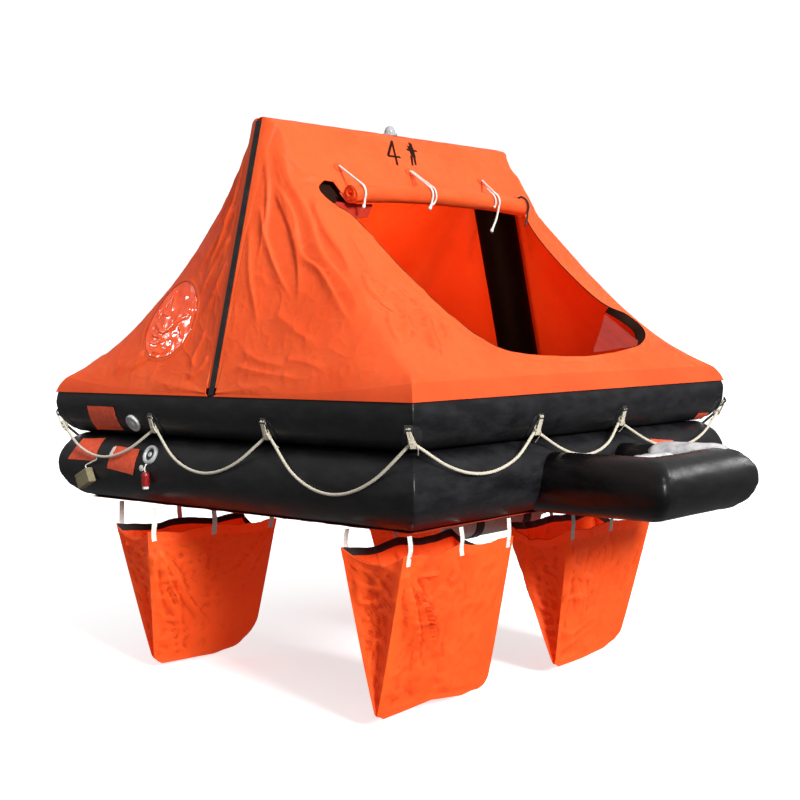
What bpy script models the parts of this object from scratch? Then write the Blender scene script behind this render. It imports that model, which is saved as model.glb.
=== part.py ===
"""Inflatable life raft: two square buoyancy tubes, ridge canopy, boarding platform, ballast bags.

Metres, +Z up. The origin is the plan centre at the light waterline. X runs along the canopy
ridge, the doorway and the boarding platform are on the -Y side.
"""
import math

import bmesh
import bpy
import numpy as np
from mathutils import Matrix, Vector
from mathutils.bvhtree import BVHTree

GAP = 0.0003            # clearance between touching pieces
SKIN = 0.005            # fabric thickness as modelled

TUBE_R = 0.125
HALF = 0.75             # plan centre to tube centre line
LOWER_Z = 0.09
UPPER_Z = 0.315
CONTACT_Z = (LOWER_Z + UPPER_Z) / 2
TUBE_SIDES = 32
TUBE_BOTTOM = LOWER_Z - TUBE_R

FLOOR_HALF = 0.79
FLOOR_T = 0.003
FLOOR_TOP = TUBE_BOTTOM - GAP
FLOOR_BOTTOM = FLOOR_TOP - FLOOR_T

RIDGE_HALF = 0.64
RIDGE_Z = 1.27
HEM_ANGLE = math.radians(16)     # canopy hem above the upper tube's outer equator
HEM_CLEAR = 0.0012               # inner face of the wrapped hem to the tube
ARCH_R = 0.08
ARCH_CLEAR = 0.0012
STRIP_HALF = 0.0125              # half width of the black strip on each arch leg
STRIP_EDGE = STRIP_HALF + 0.0021 # fabric edge beside the strip, clear of it at its inner face too
STRIP_SHORT = 0.03               # the strip stops this far below the ridge end
STRIP_LOW = 0.004                # and starts this far above the hem
RIDGE_EDGE = 0.0035              # outer edges of the two halves at the ridge seam

PLATFORM_R = 0.0975
PLATFORM_Z = TUBE_BOTTOM + PLATFORM_R
PLATFORM_X = (-0.18, 0.22)       # centre lines of the two arms
PLATFORM_Y = -1.223
PLATFORM_ROOT_Y = -0.80
WEB_T = 0.004
PAD_DEPTH = 0.06                 # light pad behind the platform's front tube

BAG_W, BAG_D, BAG_H = 0.51, 0.25, 0.48
BAG_FOOT_HALF_D = 0.012

COLORS = {
    "black": (0.012, 0.012, 0.014, 1), "orange": (0.9, 0.16, 0.03, 1), "deep": (0.75, 0.07, 0.01, 1),
    "white": (0.8, 0.79, 0.74, 1), "rope": (0.62, 0.57, 0.47, 1), "grey": (0.42, 0.44, 0.45, 1),
    "red": (0.6, 0.02, 0.02, 1), "tan": (0.38, 0.31, 0.2, 1), "clear": (0.8, 0.5, 0.4, 1),
}
ROUGH = {"black": 0.45, "orange": 0.6, "deep": 0.6, "white": 0.8, "rope": 0.9, "grey": 0.4,
         "red": 0.4, "tan": 0.6, "clear": 0.15}


def start():
    for obj in list(bpy.data.objects):
        bpy.data.objects.remove(obj, do_unlink=True)
    parts = bpy.data.collections.new("life_raft")
    cutters = bpy.data.collections.new("cutters")
    for coll in (parts, cutters):
        bpy.context.scene.collection.children.link(coll)
    return parts, cutters


PARTS, CUTTERS = start()


def material(kind):
    mat = bpy.data.materials.get(kind)
    if mat is None:
        mat = bpy.data.materials.new(kind)
        mat.use_nodes = True
        shader = mat.node_tree.nodes["Principled BSDF"]
        shader.inputs["Base Color"].default_value = COLORS[kind]
        shader.inputs["Roughness"].default_value = ROUGH[kind]
        shader.inputs["Metallic"].default_value = 0.0
    return mat


def add_object(name, bm, kind):
    """Makes a named part from a bmesh, with outward faces."""
    bmesh.ops.remove_doubles(bm, verts=bm.verts, dist=0.00002)
    bmesh.ops.recalc_face_normals(bm, faces=bm.faces)
    mesh = bpy.data.meshes.new(name)
    bm.to_mesh(mesh)
    bm.free()
    mesh.materials.append(material(kind))
    obj = bpy.data.objects.new(name, mesh)
    PARTS.objects.link(obj)
    return obj


def as_cutter(obj):
    """Moves an object to the cutters, drawn as wire and left out of the part."""
    for coll in list(obj.users_collection):
        coll.objects.unlink(obj)
    CUTTERS.objects.link(obj)
    obj.hide_render = True
    obj.display_type = "WIRE"
    return obj


def boolean(obj, other, operation="DIFFERENCE"):
    mod = obj.modifiers.new(operation.lower(), "BOOLEAN")
    mod.operation = operation
    mod.object = other
    mod.solver = "EXACT"


def circle_section(radius, sides, turn=0.0):
    return [(radius * math.cos(turn + i * math.tau / sides), radius * math.sin(turn + i * math.tau / sides))
            for i in range(sides)]


def flat_section(radius, flat_at, sides, top):
    """A circle cut flat at a height: on its top side, or on its bottom side."""
    half = math.asin(flat_at / radius)
    sweep = math.pi + 2 * half
    pts = []
    for i in range(sides + 1):
        ang = math.pi - half + sweep * i / sides
        pts.append((radius * math.cos(ang), radius * math.sin(ang)))
    pts[0] = (pts[0][0], flat_at)
    pts[-1] = (pts[-1][0], flat_at)
    if not top:
        pts = [(u, -v) for u, v in pts]
    return pts


def mitred_sweep(path, section, normal, closed):
    """Sweeps a section along a flat polyline with true mitres; normal is the plane's normal."""
    bm = bmesh.new()
    path = [Vector(p) for p in path]
    normal = Vector(normal)
    n = len(path)
    rings = []
    for i, point in enumerate(path):
        sides = []
        if closed or i > 0:
            sides.append(normal.cross((point - path[i - 1]).normalized()))
        if closed or i < n - 1:
            sides.append(normal.cross((path[(i + 1) % n] - point).normalized()))
        out = sum(sides, Vector()).normalized()
        stretch = 1 / out.dot(sides[0])
        rings.append([bm.verts.new(point + out * (u * stretch) + normal * v) for u, v in section])
    m = len(section)
    for i in range(n if closed else n - 1):
        a, b = rings[i], rings[(i + 1) % n]
        for j in range(m):
            k = (j + 1) % m
            bm.faces.new((a[j], a[k], b[k], b[j]))
    if not closed:
        bm.faces.new(rings[0])
        bm.faces.new(list(reversed(rings[-1])))
    return bm


def square_path(half, z):
    return [(-half, -half, z), (half, -half, z), (half, half, z), (-half, half, z)]


TUBE_FLAT = CONTACT_Z - LOWER_Z - GAP / 2
CUT_CLEAR = 0.0006


def ring_tube(name, z, flat_on_top, clear=0.0):
    section = flat_section(TUBE_R + clear, TUBE_FLAT, TUBE_SIDES - 4, flat_on_top)
    return add_object(name, mitred_sweep(square_path(HALF, z), section, (0, 0, 1), True), "black")


def buoyancy_tubes():
    ring_tube("lower_tube", LOWER_Z, True)
    ring_tube("upper_tube", UPPER_Z, False)
    as_cutter(ring_tube("lower_tube_space", LOWER_Z, True, CUT_CLEAR))
    as_cutter(ring_tube("upper_tube_space", UPPER_Z, False, CUT_CLEAR))


def box_mesh(size, centre, turn=None):
    bm = bmesh.new()
    bmesh.ops.create_cube(bm, size=1.0)
    bmesh.ops.scale(bm, vec=Vector(size), verts=bm.verts)
    if turn is not None:
        bmesh.ops.rotate(bm, cent=(0, 0, 0), matrix=turn, verts=bm.verts)
    bmesh.ops.translate(bm, vec=Vector(centre), verts=bm.verts)
    return bm


def cylinder_mesh(radius, depth, centre, axis, sides=24, radius2=None):
    bm = bmesh.new()
    r2 = radius if radius2 is None else radius2
    bmesh.ops.create_cone(bm, cap_ends=True, segments=sides, radius1=radius, radius2=r2, depth=depth)
    turn = Vector((0, 0, 1)).rotation_difference(Vector(axis)).to_matrix()
    bmesh.ops.rotate(bm, cent=(0, 0, 0), matrix=turn, verts=bm.verts)
    bmesh.ops.translate(bm, vec=Vector(centre), verts=bm.verts)
    return bm


def floor_sheet():
    side = 2 * FLOOR_HALF
    centre = (0, 0, (FLOOR_TOP + FLOOR_BOTTOM) / 2)
    add_object("floor_sheet", box_mesh((side, side, FLOOR_T), centre), "deep")


def hem_point(angle, clear):
    """Offset from the plan centre and height of a point around the upper tube."""
    r = TUBE_R + clear
    return HALF + r * math.cos(angle), UPPER_Z + r * math.sin(angle)


HEM_OUT, HEM_Z = hem_point(HEM_ANGLE, HEM_CLEAR + SKIN)


def arch_axis():
    """Centre line of the arch tube, inside the canopy's end lines by its radius."""
    inset = ARCH_R + SKIN + ARCH_CLEAR
    leg = Vector((RIDGE_HALF - HEM_OUT, 0, RIDGE_Z - HEM_Z)).normalized()
    inward = Vector((-leg.z, 0, leg.x))
    on_leg = Vector((RIDGE_HALF, 0, RIDGE_Z)) + inward * inset
    top_z = RIDGE_Z - inset
    corner = on_leg + leg * ((top_z - on_leg.z) / leg.z)
    foot = on_leg + leg * ((UPPER_Z - on_leg.z) / leg.z)
    return corner, foot


ARCH_CORNER, ARCH_FOOT = arch_axis()


def arch_path():
    c, f = ARCH_CORNER, ARCH_FOOT
    return [(-f.x, 0, f.z), (-c.x, 0, c.z), (c.x, 0, c.z), (f.x, 0, f.z)]


def canopy_arch():
    section = circle_section(ARCH_R, 24, math.pi / 24)
    arch = add_object("canopy_arch", mitred_sweep(arch_path(), section, (0, 1, 0), False), "black")
    boolean(arch, bpy.data.objects["upper_tube_space"])


SIDE_COLS, FRONT_COLS = 7, 13
MEMBRANE_ROWS = 12
ARCH_WRAP_ROWS, HEM_WRAP_ROWS = 4, 3
RELAX_STEPS, RELAX_SHARE = 40, 0.42    # how far tension pulls the flat panels in
FOOT_SHARE = 0.03                      # the fabric's edge runs up beside the strip from this share of the leg
RIDGE_WRAP, LEG_WRAP = 0.95, 0.30      # how far the fabric follows the arch tube, radians
HEM_LIFT_LEG, HEM_LIFT_CORNER, HEM_LIFT_FRONT = 0.34, 0.90, 0.95   # where it leaves the upper tube


def relaxed(flat):
    """Pulls the inner points of a grid in, as fabric in tension between its edges."""
    grid = flat.copy()
    for _ in range(RELAX_STEPS):
        grid[1:-1, 1:-1] = (grid[:-2, 1:-1] + grid[2:, 1:-1] + grid[1:-1, :-2] + grid[1:-1, 2:]) / 4
    return flat * (1 - RELAX_SHARE) + grid * RELAX_SHARE


def push_off_ring(pts, radius):
    """Moves points inside the square upper tube out to its surface; the mitred ring is max(|x|, |y|)."""
    x, y, z = pts[..., 0], pts[..., 1], pts[..., 2]
    side = np.maximum(np.abs(x), np.abs(y))
    out, up = side - HALF, z - UPPER_Z
    dist = np.maximum(np.hypot(out, up), 1e-6)
    inside = dist < radius
    scale = np.where(inside, (HALF + out * radius / dist) / side, 1.0)
    on_x = np.abs(x) > np.abs(y) - 1e-6
    on_y = np.abs(y) > np.abs(x) - 1e-6
    pts[..., 2] = np.where(inside, UPPER_Z + up * radius / dist, z)
    pts[..., 0] = np.where(on_x, x * scale, x)
    pts[..., 1] = np.where(on_y, y * scale, y)
    return pts


def canopy_columns():
    """For each column from the left foot round to the right one: leg share (None on the ridge), front share."""
    left = [(i / SIDE_COLS, None) for i in range(SIDE_COLS)]
    middle = [(None, i / FRONT_COLS) for i in range(FRONT_COLS + 1)]
    return left + middle + [(s, "right") for s, _ in reversed(left)]


def over_arch(leg, front, ang):
    """Point of the fabric where it follows the arch tube, ang from the tube's outer line."""
    r = ARCH_R + SKIN + ARCH_CLEAR
    corner = ARCH_CORNER
    down = Vector((0, -r * math.sin(ang), 0))
    if leg is None:
        share = abs(2 * front - 1)
        side = -1 if front < 0.5 else 1
        mitre = Vector((RIDGE_HALF, 0, RIDGE_Z)) - corner
        end = corner + mitre * math.cos(ang)
        return Vector((side * share * end.x, 0, corner.z + r * math.cos(ang))) + down
    side = 1 if front == "right" else -1
    low, high = Vector((HEM_OUT, 0, HEM_Z)), Vector((RIDGE_HALF, 0, RIDGE_Z))
    out = Vector(((high - low).z, 0, (low - high).x)).normalized()
    mitre = Vector((RIDGE_HALF, 0, RIDGE_Z)) - corner
    end = corner + mitre * math.cos(ang)
    foot = low - out * r * (1 - math.cos(ang))
    p = foot.lerp(end, FOOT_SHARE + (1 - FOOT_SHARE) * leg) + down
    return Vector((side * p.x, p.y, p.z))


def over_tube(leg, front, ang, edge):
    """Point of the fabric where it follows the upper tube, ang above the tube's equator."""
    r = TUBE_R + SKIN + HEM_CLEAR
    out, z = HALF + r * math.cos(ang), UPPER_Z + r * math.sin(ang)
    if leg is None:
        return Vector((out * (2 * front - 1), -out, z))
    side = 1 if front == "right" else -1
    return Vector((side * out, -edge - (out - edge) * leg, z))


def canopy_half_surface():
    """Outer surface of the front half: over the arch, the taut membrane, then round the upper tube."""
    r = ARCH_R + SKIN + ARCH_CLEAR
    columns = []
    for leg, front in canopy_columns():
        on_ridge = leg is None
        edge = RIDGE_EDGE if on_ridge and 0 < front < 1 else STRIP_EDGE
        start = math.asin(edge / r)
        if on_ridge:
            wrap = RIDGE_WRAP
            lift = HEM_LIFT_CORNER + (HEM_LIFT_FRONT - HEM_LIFT_CORNER) * math.sin(math.pi * front)
        else:
            wrap = LEG_WRAP + (RIDGE_WRAP - LEG_WRAP) * leg ** 3
            lift = HEM_LIFT_LEG + (HEM_LIFT_CORNER - HEM_LIFT_LEG) * leg ** 2
        col = [over_arch(leg, front, start + (wrap - start) * i / ARCH_WRAP_ROWS) for i in range(ARCH_WRAP_ROWS)]
        a, b = over_arch(leg, front, wrap), over_tube(leg, front, lift, r * math.sin(wrap))
        col += [a.lerp(b, i / MEMBRANE_ROWS) for i in range(MEMBRANE_ROWS + 1)]
        for i in range(1, HEM_WRAP_ROWS + 1):
            share = i / HEM_WRAP_ROWS
            tuck = r * math.sin(wrap) * (1 - share) + edge * share
            col.append(over_tube(leg, front, lift + (HEM_ANGLE - lift) * share, tuck))
        columns.append(col)
    grid = np.array(columns).transpose(1, 0, 2)
    first, last = ARCH_WRAP_ROWS, ARCH_WRAP_ROWS + MEMBRANE_ROWS
    membrane = relaxed(grid[first:last + 1])
    membrane[1:-1] = push_off_ring(membrane[1:-1], TUBE_R + SKIN + HEM_CLEAR + 0.004)
    grid[first:last + 1] = membrane
    return grid


def grid_mesh(grid, mirror_y=False):
    bm = bmesh.new()
    rows, cols = grid.shape[:2]
    flip = -1 if mirror_y else 1
    verts = [[bm.verts.new((p[0], flip * p[1], p[2])) for p in row] for row in grid]
    for i in range(rows - 1):
        for j in range(cols - 1):
            quad = (verts[i][j], verts[i + 1][j], verts[i + 1][j + 1], verts[i][j + 1])
            bm.faces.new(tuple(reversed(quad)) if mirror_y else quad)
    bmesh.ops.remove_doubles(bm, verts=bm.verts, dist=0.0001)
    return bm


def surface_object(name, grid, kind, mirror_y=False):
    """A fabric shell: the open outer surface, thickened inward by SKIN."""
    bm = grid_mesh(grid, mirror_y)
    mesh = bpy.data.meshes.new(name)
    bm.to_mesh(mesh)
    bm.free()
    mesh.materials.append(material(kind))
    obj = bpy.data.objects.new(name, mesh)
    PARTS.objects.link(obj)
    solid = obj.modifiers.new("thickness", "SOLIDIFY")
    solid.thickness = SKIN
    solid.offset = -1
    solid.use_even_offset = True
    return obj


SLOPE_ORIGIN = Vector((0, 0, RIDGE_Z))
SLOPE_DOWN = Vector((0, -HEM_OUT, HEM_Z - RIDGE_Z)).normalized()
SLOPE_OUT = Vector((1, 0, 0)).cross(SLOPE_DOWN) * -1


def on_slope(x, s, out=0.0):
    """Point of the front slope's flat plane: x along the ridge, s down the slope, out from it."""
    return SLOPE_ORIGIN + Vector((x, 0, 0)) + SLOPE_DOWN * s + SLOPE_OUT * out


# doorway outline on the front slope, x and distance down the slope, from the top left corner;
# its lip between the top corners is where the rolled curtain hangs
DOORWAY = [(-0.535, 0.292), (-0.572, 0.32), (-0.574, 0.355), (-0.552, 0.405), (-0.508, 0.48), (-0.475, 0.70),
           (-0.446, 0.84), (-0.42, 0.94), (-0.37, 1.03), (-0.31, 1.085), (-0.2, 1.115), (-0.02, 1.13),
           (0.16, 1.13), (0.34, 1.112), (0.48, 1.085), (0.58, 1.04), (0.635, 0.975), (0.61, 0.915),
           (0.53, 0.875), (0.48, 0.80), (0.452, 0.70), (0.435, 0.55), (0.45, 0.43), (0.53, 0.285),
           (0.49, 0.285), (0.435, 0.396), (-0.49, 0.396), (-0.50, 0.30)]


def prism_cutter(name, points, out_vec):
    bm = bmesh.new()
    low = [bm.verts.new(p - out_vec) for p in points]
    high = [bm.verts.new(p + out_vec) for p in points]
    n = len(points)
    bm.faces.new(low)
    bm.faces.new(list(reversed(high)))
    for i in range(n):
        k = (i + 1) % n
        bm.faces.new((low[i], high[i], high[k], low[k]))
    return as_cutter(add_object(name, bm, "black"))


WINDOW_AT = Vector((-0.783, 0.327, 0.609))
WINDOW_OUT = Vector((-0.945, 0.09, 0.31)).normalized()
WINDOW_R = 0.135


def canopy():
    grid = canopy_half_surface()
    front = surface_object("canopy_front", grid, "orange")
    boolean(front, prism_cutter("doorway_space", [on_slope(x, s) for x, s in DOORWAY], SLOPE_OUT * 0.12))
    back = surface_object("canopy_back", grid, "orange", mirror_y=True)
    hole = cylinder_mesh(WINDOW_R, 0.3, WINDOW_AT, WINDOW_OUT, 40)
    boolean(back, as_cutter(add_object("window_space", hole, "black")))
    pane = surface_object("canopy_window", grid, "clear", mirror_y=True)
    disc = cylinder_mesh(WINDOW_R - 0.0004, 0.3, WINDOW_AT, WINDOW_OUT, 40)
    boolean(pane, as_cutter(add_object("window_disc", disc, "black")), "INTERSECT")
    return grid


def arch_strips():
    """Black strips over the arch legs, between the two canopy halves, from the hem to near the ridge."""
    low, high = Vector((HEM_OUT, 0, HEM_Z)), Vector((RIDGE_HALF, 0, RIDGE_Z))
    leg = (high - low).normalized()
    out = Vector((leg.z, 0, -leg.x))
    length = (high - low).length - STRIP_SHORT - STRIP_LOW
    mid = low + leg * (STRIP_LOW + length / 2) - out * (SKIN / 2)
    for name, side in (("arch_strip_left", -1), ("arch_strip_right", 1)):
        tilt = Matrix.Rotation(math.atan2(leg.x, leg.z) * side, 3, "Y")
        bm = box_mesh((SKIN, 2 * STRIP_HALF, length), (mid.x * side, 0, mid.z), tilt)
        add_object(name, bm, "black")


def smooth_route(points, spacing):
    """Points read every spacing from a smooth curve through the route's own points."""
    pts = [Vector(p) for p in points]
    pts = [pts[0] * 2 - pts[1]] + pts + [pts[-1] * 2 - pts[-2]]
    fine = []
    for a, b, c, d in zip(pts, pts[1:], pts[2:], pts[3:]):
        for i in range(24):
            t = i / 24
            fine.append(0.5 * (2 * b + (c - a) * t + (2 * a - 5 * b + 4 * c - d) * t * t
                               + (3 * b - a - 3 * c + d) * t * t * t))
    fine.append(pts[-2])
    lengths = [0.0]
    for a, b in zip(fine, fine[1:]):
        lengths.append(lengths[-1] + (b - a).length)
    count = max(2, round(lengths[-1] / spacing) + 1)
    out, j = [], 0
    for i in range(count):
        want = lengths[-1] * i / (count - 1)
        while j < len(fine) - 2 and lengths[j + 1] < want:
            j += 1
        share = (want - lengths[j]) / max(lengths[j + 1] - lengths[j], 1e-9)
        out.append(fine[j].lerp(fine[j + 1], min(share, 1.0)))
    return out


def cord_tube(name, points, radius, kind, resolution=2):
    """A closed tube along a polyline, made a mesh."""
    curve = bpy.data.curves.new(name, "CURVE")
    curve.dimensions = "3D"
    curve.bevel_depth = radius
    curve.bevel_resolution = resolution
    curve.use_fill_caps = True
    spline = curve.splines.new("POLY")
    spline.points.add(len(points) - 1)
    for target, p in zip(spline.points, points):
        target.co = (*p, 1)
    temp = bpy.data.objects.new(name + "_curve", curve)
    PARTS.objects.link(temp)
    graph = bpy.context.evaluated_depsgraph_get()
    mesh = bpy.data.meshes.new_from_object(temp.evaluated_get(graph))
    bm = bmesh.new()
    bm.from_mesh(mesh)
    bpy.data.objects.remove(temp, do_unlink=True)
    return add_object(name, bm, kind)


DOOR_ROLL_R = 0.032
DOOR_ROLL_S = 0.392     # just above the doorway's lip
DOOR_ROLL_X = (-0.51, 0.415)
DOOR_ROLL_CLEAR = 0.0013


def slope_reader(grid):
    """Reads how far the fabric's outer surface stands out of the flat front slope."""
    rows, cols = grid.shape[:2]
    verts = [Vector(p) for p in grid.reshape(-1, 3)]
    quads = [(i * cols + j, (i + 1) * cols + j, (i + 1) * cols + j + 1, i * cols + j + 1)
             for i in range(rows - 1) for j in range(cols - 1)]
    tree = BVHTree.FromPolygons(verts, quads)

    def height(x, s):
        hit = tree.ray_cast(on_slope(x, s, 0.3), -SLOPE_OUT)[0]
        return (hit - on_slope(x, s)).dot(SLOPE_OUT)
    return height


def roll_centre(height, x):
    return on_slope(x, DOOR_ROLL_S, height(x, DOOR_ROLL_S) + DOOR_ROLL_R + DOOR_ROLL_CLEAR)


def door_roll(height):
    x0, x1 = DOOR_ROLL_X
    route = [roll_centre(height, x0 + (x1 - x0) * i / 24) for i in range(25)]
    cord_tube("door_roll", route, DOOR_ROLL_R, "orange", 6)


# door ties: x of the anchor on the canopy, x on the roll, how far the tail hangs below the roll, and
# how far it drifts along the roll as it hangs
DOOR_TIES = [(-0.438, -0.475, 0.02, -0.008), (-0.092, -0.155, 0.02, -0.016), (0.318, 0.215, 0.08, -0.045)]
TIE_ANCHOR_S = 0.235
TIE_LIFT_S, TIE_LIFT = 0.305, 0.007      # the tie rises this far off the fabric on its way to the roll
TIE_R = 0.004
TIE_CLEAR = 0.0020
TIE_ANGLES = (45, 70, 95, 120, 145, 168)  # where it passes round the roll, degrees from its top
TIE_BARE = 0.012                          # straight end below the tail


def door_ties(height):
    for i, (x_anchor, x_roll, tail, drift) in enumerate(DOOR_TIES, 1):
        roll = roll_centre(height, x_roll)
        reach = DOOR_ROLL_R + TIE_R + TIE_CLEAR
        x_lift = (x_anchor + x_roll) / 2
        route = [on_slope(x_anchor, TIE_ANCHOR_S, height(x_anchor, TIE_ANCHOR_S) + TIE_R + 2 * GAP),
                 on_slope(x_lift, TIE_LIFT_S, height(x_lift, TIE_LIFT_S) + TIE_R + TIE_LIFT)]
        for deg in TIE_ANGLES:
            ang = math.radians(deg)
            route.append(roll - SLOPE_DOWN * (reach * math.cos(ang)) + SLOPE_OUT * (reach * math.sin(ang)))
        end = route[-1]
        route.append(end + Vector((0.3 * drift, 0, -0.4 * tail - 0.008)))
        route.append(end + Vector((drift, 0, -tail - TIE_BARE)))
        cord_tube(f"door_tie_{i}", smooth_route(route, 0.010), TIE_R, "white")


def platform():
    path = [(PLATFORM_X[0], PLATFORM_ROOT_Y, PLATFORM_Z), (PLATFORM_X[0], PLATFORM_Y, PLATFORM_Z),
            (PLATFORM_X[1], PLATFORM_Y, PLATFORM_Z), (PLATFORM_X[1], PLATFORM_ROOT_Y, PLATFORM_Z)]
    section = circle_section(PLATFORM_R, 24, math.pi / 24)
    tube = add_object("platform_tube", mitred_sweep(path, section, (0, 0, 1), False), "black")
    boolean(tube, bpy.data.objects["lower_tube_space"])
    inner = PLATFORM_R * math.cos(math.pi / 24) + GAP
    size_x = PLATFORM_X[1] - PLATFORM_X[0] - 2 * inner
    mid_x = (PLATFORM_X[0] + PLATFORM_X[1]) / 2
    tube_front = -HALF - math.sqrt(TUBE_R ** 2 - (LOWER_Z - PLATFORM_Z) ** 2)
    far_y, near_y = PLATFORM_Y + inner, tube_front - GAP
    web = box_mesh((size_x, near_y - far_y, WEB_T), (mid_x, (far_y + near_y) / 2, PLATFORM_Z))
    add_object("platform_web", web, "black")
    low = PLATFORM_Z + WEB_T / 2 + GAP
    high = PLATFORM_Z + PLATFORM_R * 0.92
    pad_y = far_y + 0.0005 + PAD_DEPTH / 2
    pad = box_mesh((size_x - 0.001, PAD_DEPTH, high - low), (mid_x, pad_y, (low + high) / 2))
    add_object("platform_pad", pad, "white")


# bags: name, centre x, centre y, rim height, turn about Z
BAGS = [
    ("ballast_bag_1", -0.585, -0.675, -0.092, 0.0),
    ("ballast_bag_2", 0.19, -0.70, -0.105, 0.0),
    ("ballast_bag_3", -0.60, 0.42, -0.118, -0.2),
    ("ballast_bag_4", 0.60, 0.42, -0.118, 0.2),
]
BAG_ROWS = (0, 0.12, 0.3, 0.5, 0.7, 0.88, 1.0)
TIE_W, TIE_T = 0.018, 0.004


def bag_ring(share):
    """One level of the bag's outer surface, as corner-first points around it."""
    half_w = BAG_W / 2 * (1 - 0.10 * share)
    half_d = BAG_D / 2 * (1 - share) + BAG_FOOT_HALF_D * share
    cols, ends = 8, 4
    pts = []
    for sign in (-1, 1):
        for i in range(cols):
            t = i / cols
            pts.append((sign * (-half_w + 2 * half_w * t), sign * -half_d, 0.0))
        for i in range(ends):
            t = i / ends
            dip = 4 * t * (1 - t)
            pinch = 0.03 * dip * share * (1 - share) * 4
            pts.append((sign * (half_w - pinch), sign * (-half_d + 2 * half_d * t), -0.045 * dip * (1 - share) ** 3))
    return pts


def ballast_bag(name, x, y, rim_z, turn):
    bm = bmesh.new()
    rings = []
    for share in BAG_ROWS:
        rings.append([bm.verts.new((px, py, pz - BAG_H * share)) for px, py, pz in bag_ring(share)])
    n = len(rings[0])
    for a, b in zip(rings[:-1], rings[1:]):
        for j in range(n):
            k = (j + 1) % n
            bm.faces.new((a[j], a[k], b[k], b[j]))
    bm.faces.new(list(reversed(rings[-1])))
    bmesh.ops.recalc_face_normals(bm, faces=bm.faces)
    place = Matrix.Translation((x, y, rim_z)) @ Matrix.Rotation(turn, 4, "Z")
    bmesh.ops.transform(bm, matrix=place, verts=bm.verts)
    mesh = bpy.data.meshes.new(name)
    bm.to_mesh(mesh)
    bm.free()
    mesh.materials.append(material("orange"))
    bag = bpy.data.objects.new(name, mesh)
    PARTS.objects.link(bag)
    solid = bag.modifiers.new("thickness", "SOLIDIFY")
    solid.thickness = SKIN
    solid.offset = -1
    solid.use_even_offset = True
    spots = []
    for sx in (-1, 0, 1):
        for sy in (-1, 1):
            spots.append((sx * (BAG_W / 2 - 0.012), sy * (BAG_D / 2 - 0.0025)))
    for i, (px, py) in enumerate(spots):
        top, low = FLOOR_BOTTOM - GAP, rim_z - 0.03
        at = place @ Vector((px, py, 0))
        tie = box_mesh((TIE_W, TIE_T, top - low), (at.x, at.y, (top + low) / 2), Matrix.Rotation(turn, 3, "Z"))
        boolean(bag, as_cutter(add_object(f"{name}_tie_{i}", tie, "white")), "UNION")


CYL_X, CYL_Y = -0.04, -0.49
CYL_R, CYL_LEN = 0.052, 0.42
CYL_DOME = 0.6                   # height of the domed ends as a share of the radius
CYL_NECK_R, CYL_NECK = 0.016, (0.028, 0.04)   # neck radius, and where it starts and ends past the body
CYL_Z = FLOOR_BOTTOM - 0.006 - CYL_R
CYL_TOP = FLOOR_BOTTOM - GAP - CYL_Z
HEAD_R, HEAD_LEN = 0.02, 0.05
BAND_AT, BAND_W, BAND_T = 0.13, 0.04, 0.003
BAND_CLEAR = 0.0008


def turned(name, profile, at, axis, kind, steps=24):
    """A solid of revolution: profile is (radius, distance along the axis), both ends on the axis."""
    bm = bmesh.new()
    axis = Vector(axis).normalized()
    turn = Vector((0, 0, 1)).rotation_difference(axis).to_matrix().to_4x4()
    rings = []
    for r, h in profile:
        if r < 1e-6:
            rings.append([bm.verts.new((0, 0, h))])
        else:
            rings.append([bm.verts.new((r * math.cos(math.tau * i / steps), r * math.sin(math.tau * i / steps), h))
                          for i in range(steps)])
    for a, b in zip(rings[:-1], rings[1:]):
        for i in range(steps):
            k = (i + 1) % steps
            face = [a[i % len(a)], a[k % len(a)], b[k % len(b)], b[i % len(b)]]
            bm.faces.new(list(dict.fromkeys(face)))
    bmesh.ops.transform(bm, matrix=Matrix.Translation(at) @ turn, verts=bm.verts)
    return add_object(name, bm, kind)


def gas_cylinder():
    half = CYL_LEN / 2
    dome = [(CYL_R * math.sin(math.radians(a)), half + CYL_DOME * CYL_R * math.cos(math.radians(a)))
            for a in (90, 67, 45, 22, 0)]
    body = [(0, -d) if r < 1e-4 else (r, -d) for r, d in reversed(dome)]
    neck_low, neck_high = half + CYL_NECK[0], half + CYL_NECK[1]
    profile = body + dome[:3] + [(CYL_NECK_R, neck_low), (CYL_NECK_R, neck_high), (0, neck_high)]
    turned("gas_cylinder", profile, (CYL_X, CYL_Y, CYL_Z), (1, 0, 0), "grey")
    head_x = CYL_X + neck_high + GAP + HEAD_LEN / 2
    add_object("cylinder_valve", cylinder_mesh(HEAD_R, HEAD_LEN, (head_x, CYL_Y, CYL_Z), (1, 0, 0), 16), "tan")
    for i, x in enumerate((CYL_X - BAND_AT, CYL_X + BAND_AT), 1):
        cradle_band(f"cylinder_band_{i}", x)


def cradle_band(name, x):
    """A webbing band from the floor, round under the cylinder and back to the floor."""
    inner, outer = CYL_R + BAND_CLEAR, CYL_R + BAND_CLEAR + BAND_T
    path = []
    for r, order in ((inner, 1), (outer, -1)):
        arc = [(r * math.cos(math.radians(a)), r * math.sin(math.radians(a))) for a in range(-180, 1, 12)]
        arc = [(-r, CYL_TOP)] + arc + [(r, CYL_TOP)]
        path += arc[::order]
    bm = bmesh.new()
    near = [bm.verts.new((x - BAND_W / 2, CYL_Y + u, CYL_Z + v)) for u, v in path]
    far = [bm.verts.new((x + BAND_W / 2, CYL_Y + u, CYL_Z + v)) for u, v in path]
    n = len(path)
    for i in range(n):
        k = (i + 1) % n
        bm.faces.new((near[i], near[k], far[k], far[i]))
    for i in range(n // 2 - 1):
        a, b = i, i + 1
        c, d = n - 2 - i, n - 1 - i
        bm.faces.new((near[a], near[b], near[c], near[d]))
        bm.faces.new((far[a], far[d], far[c], far[b]))
    add_object(name, bm, "black")


SINK = 0.012                     # what sits on a tube starts this far inside it, before the round cut


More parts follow.
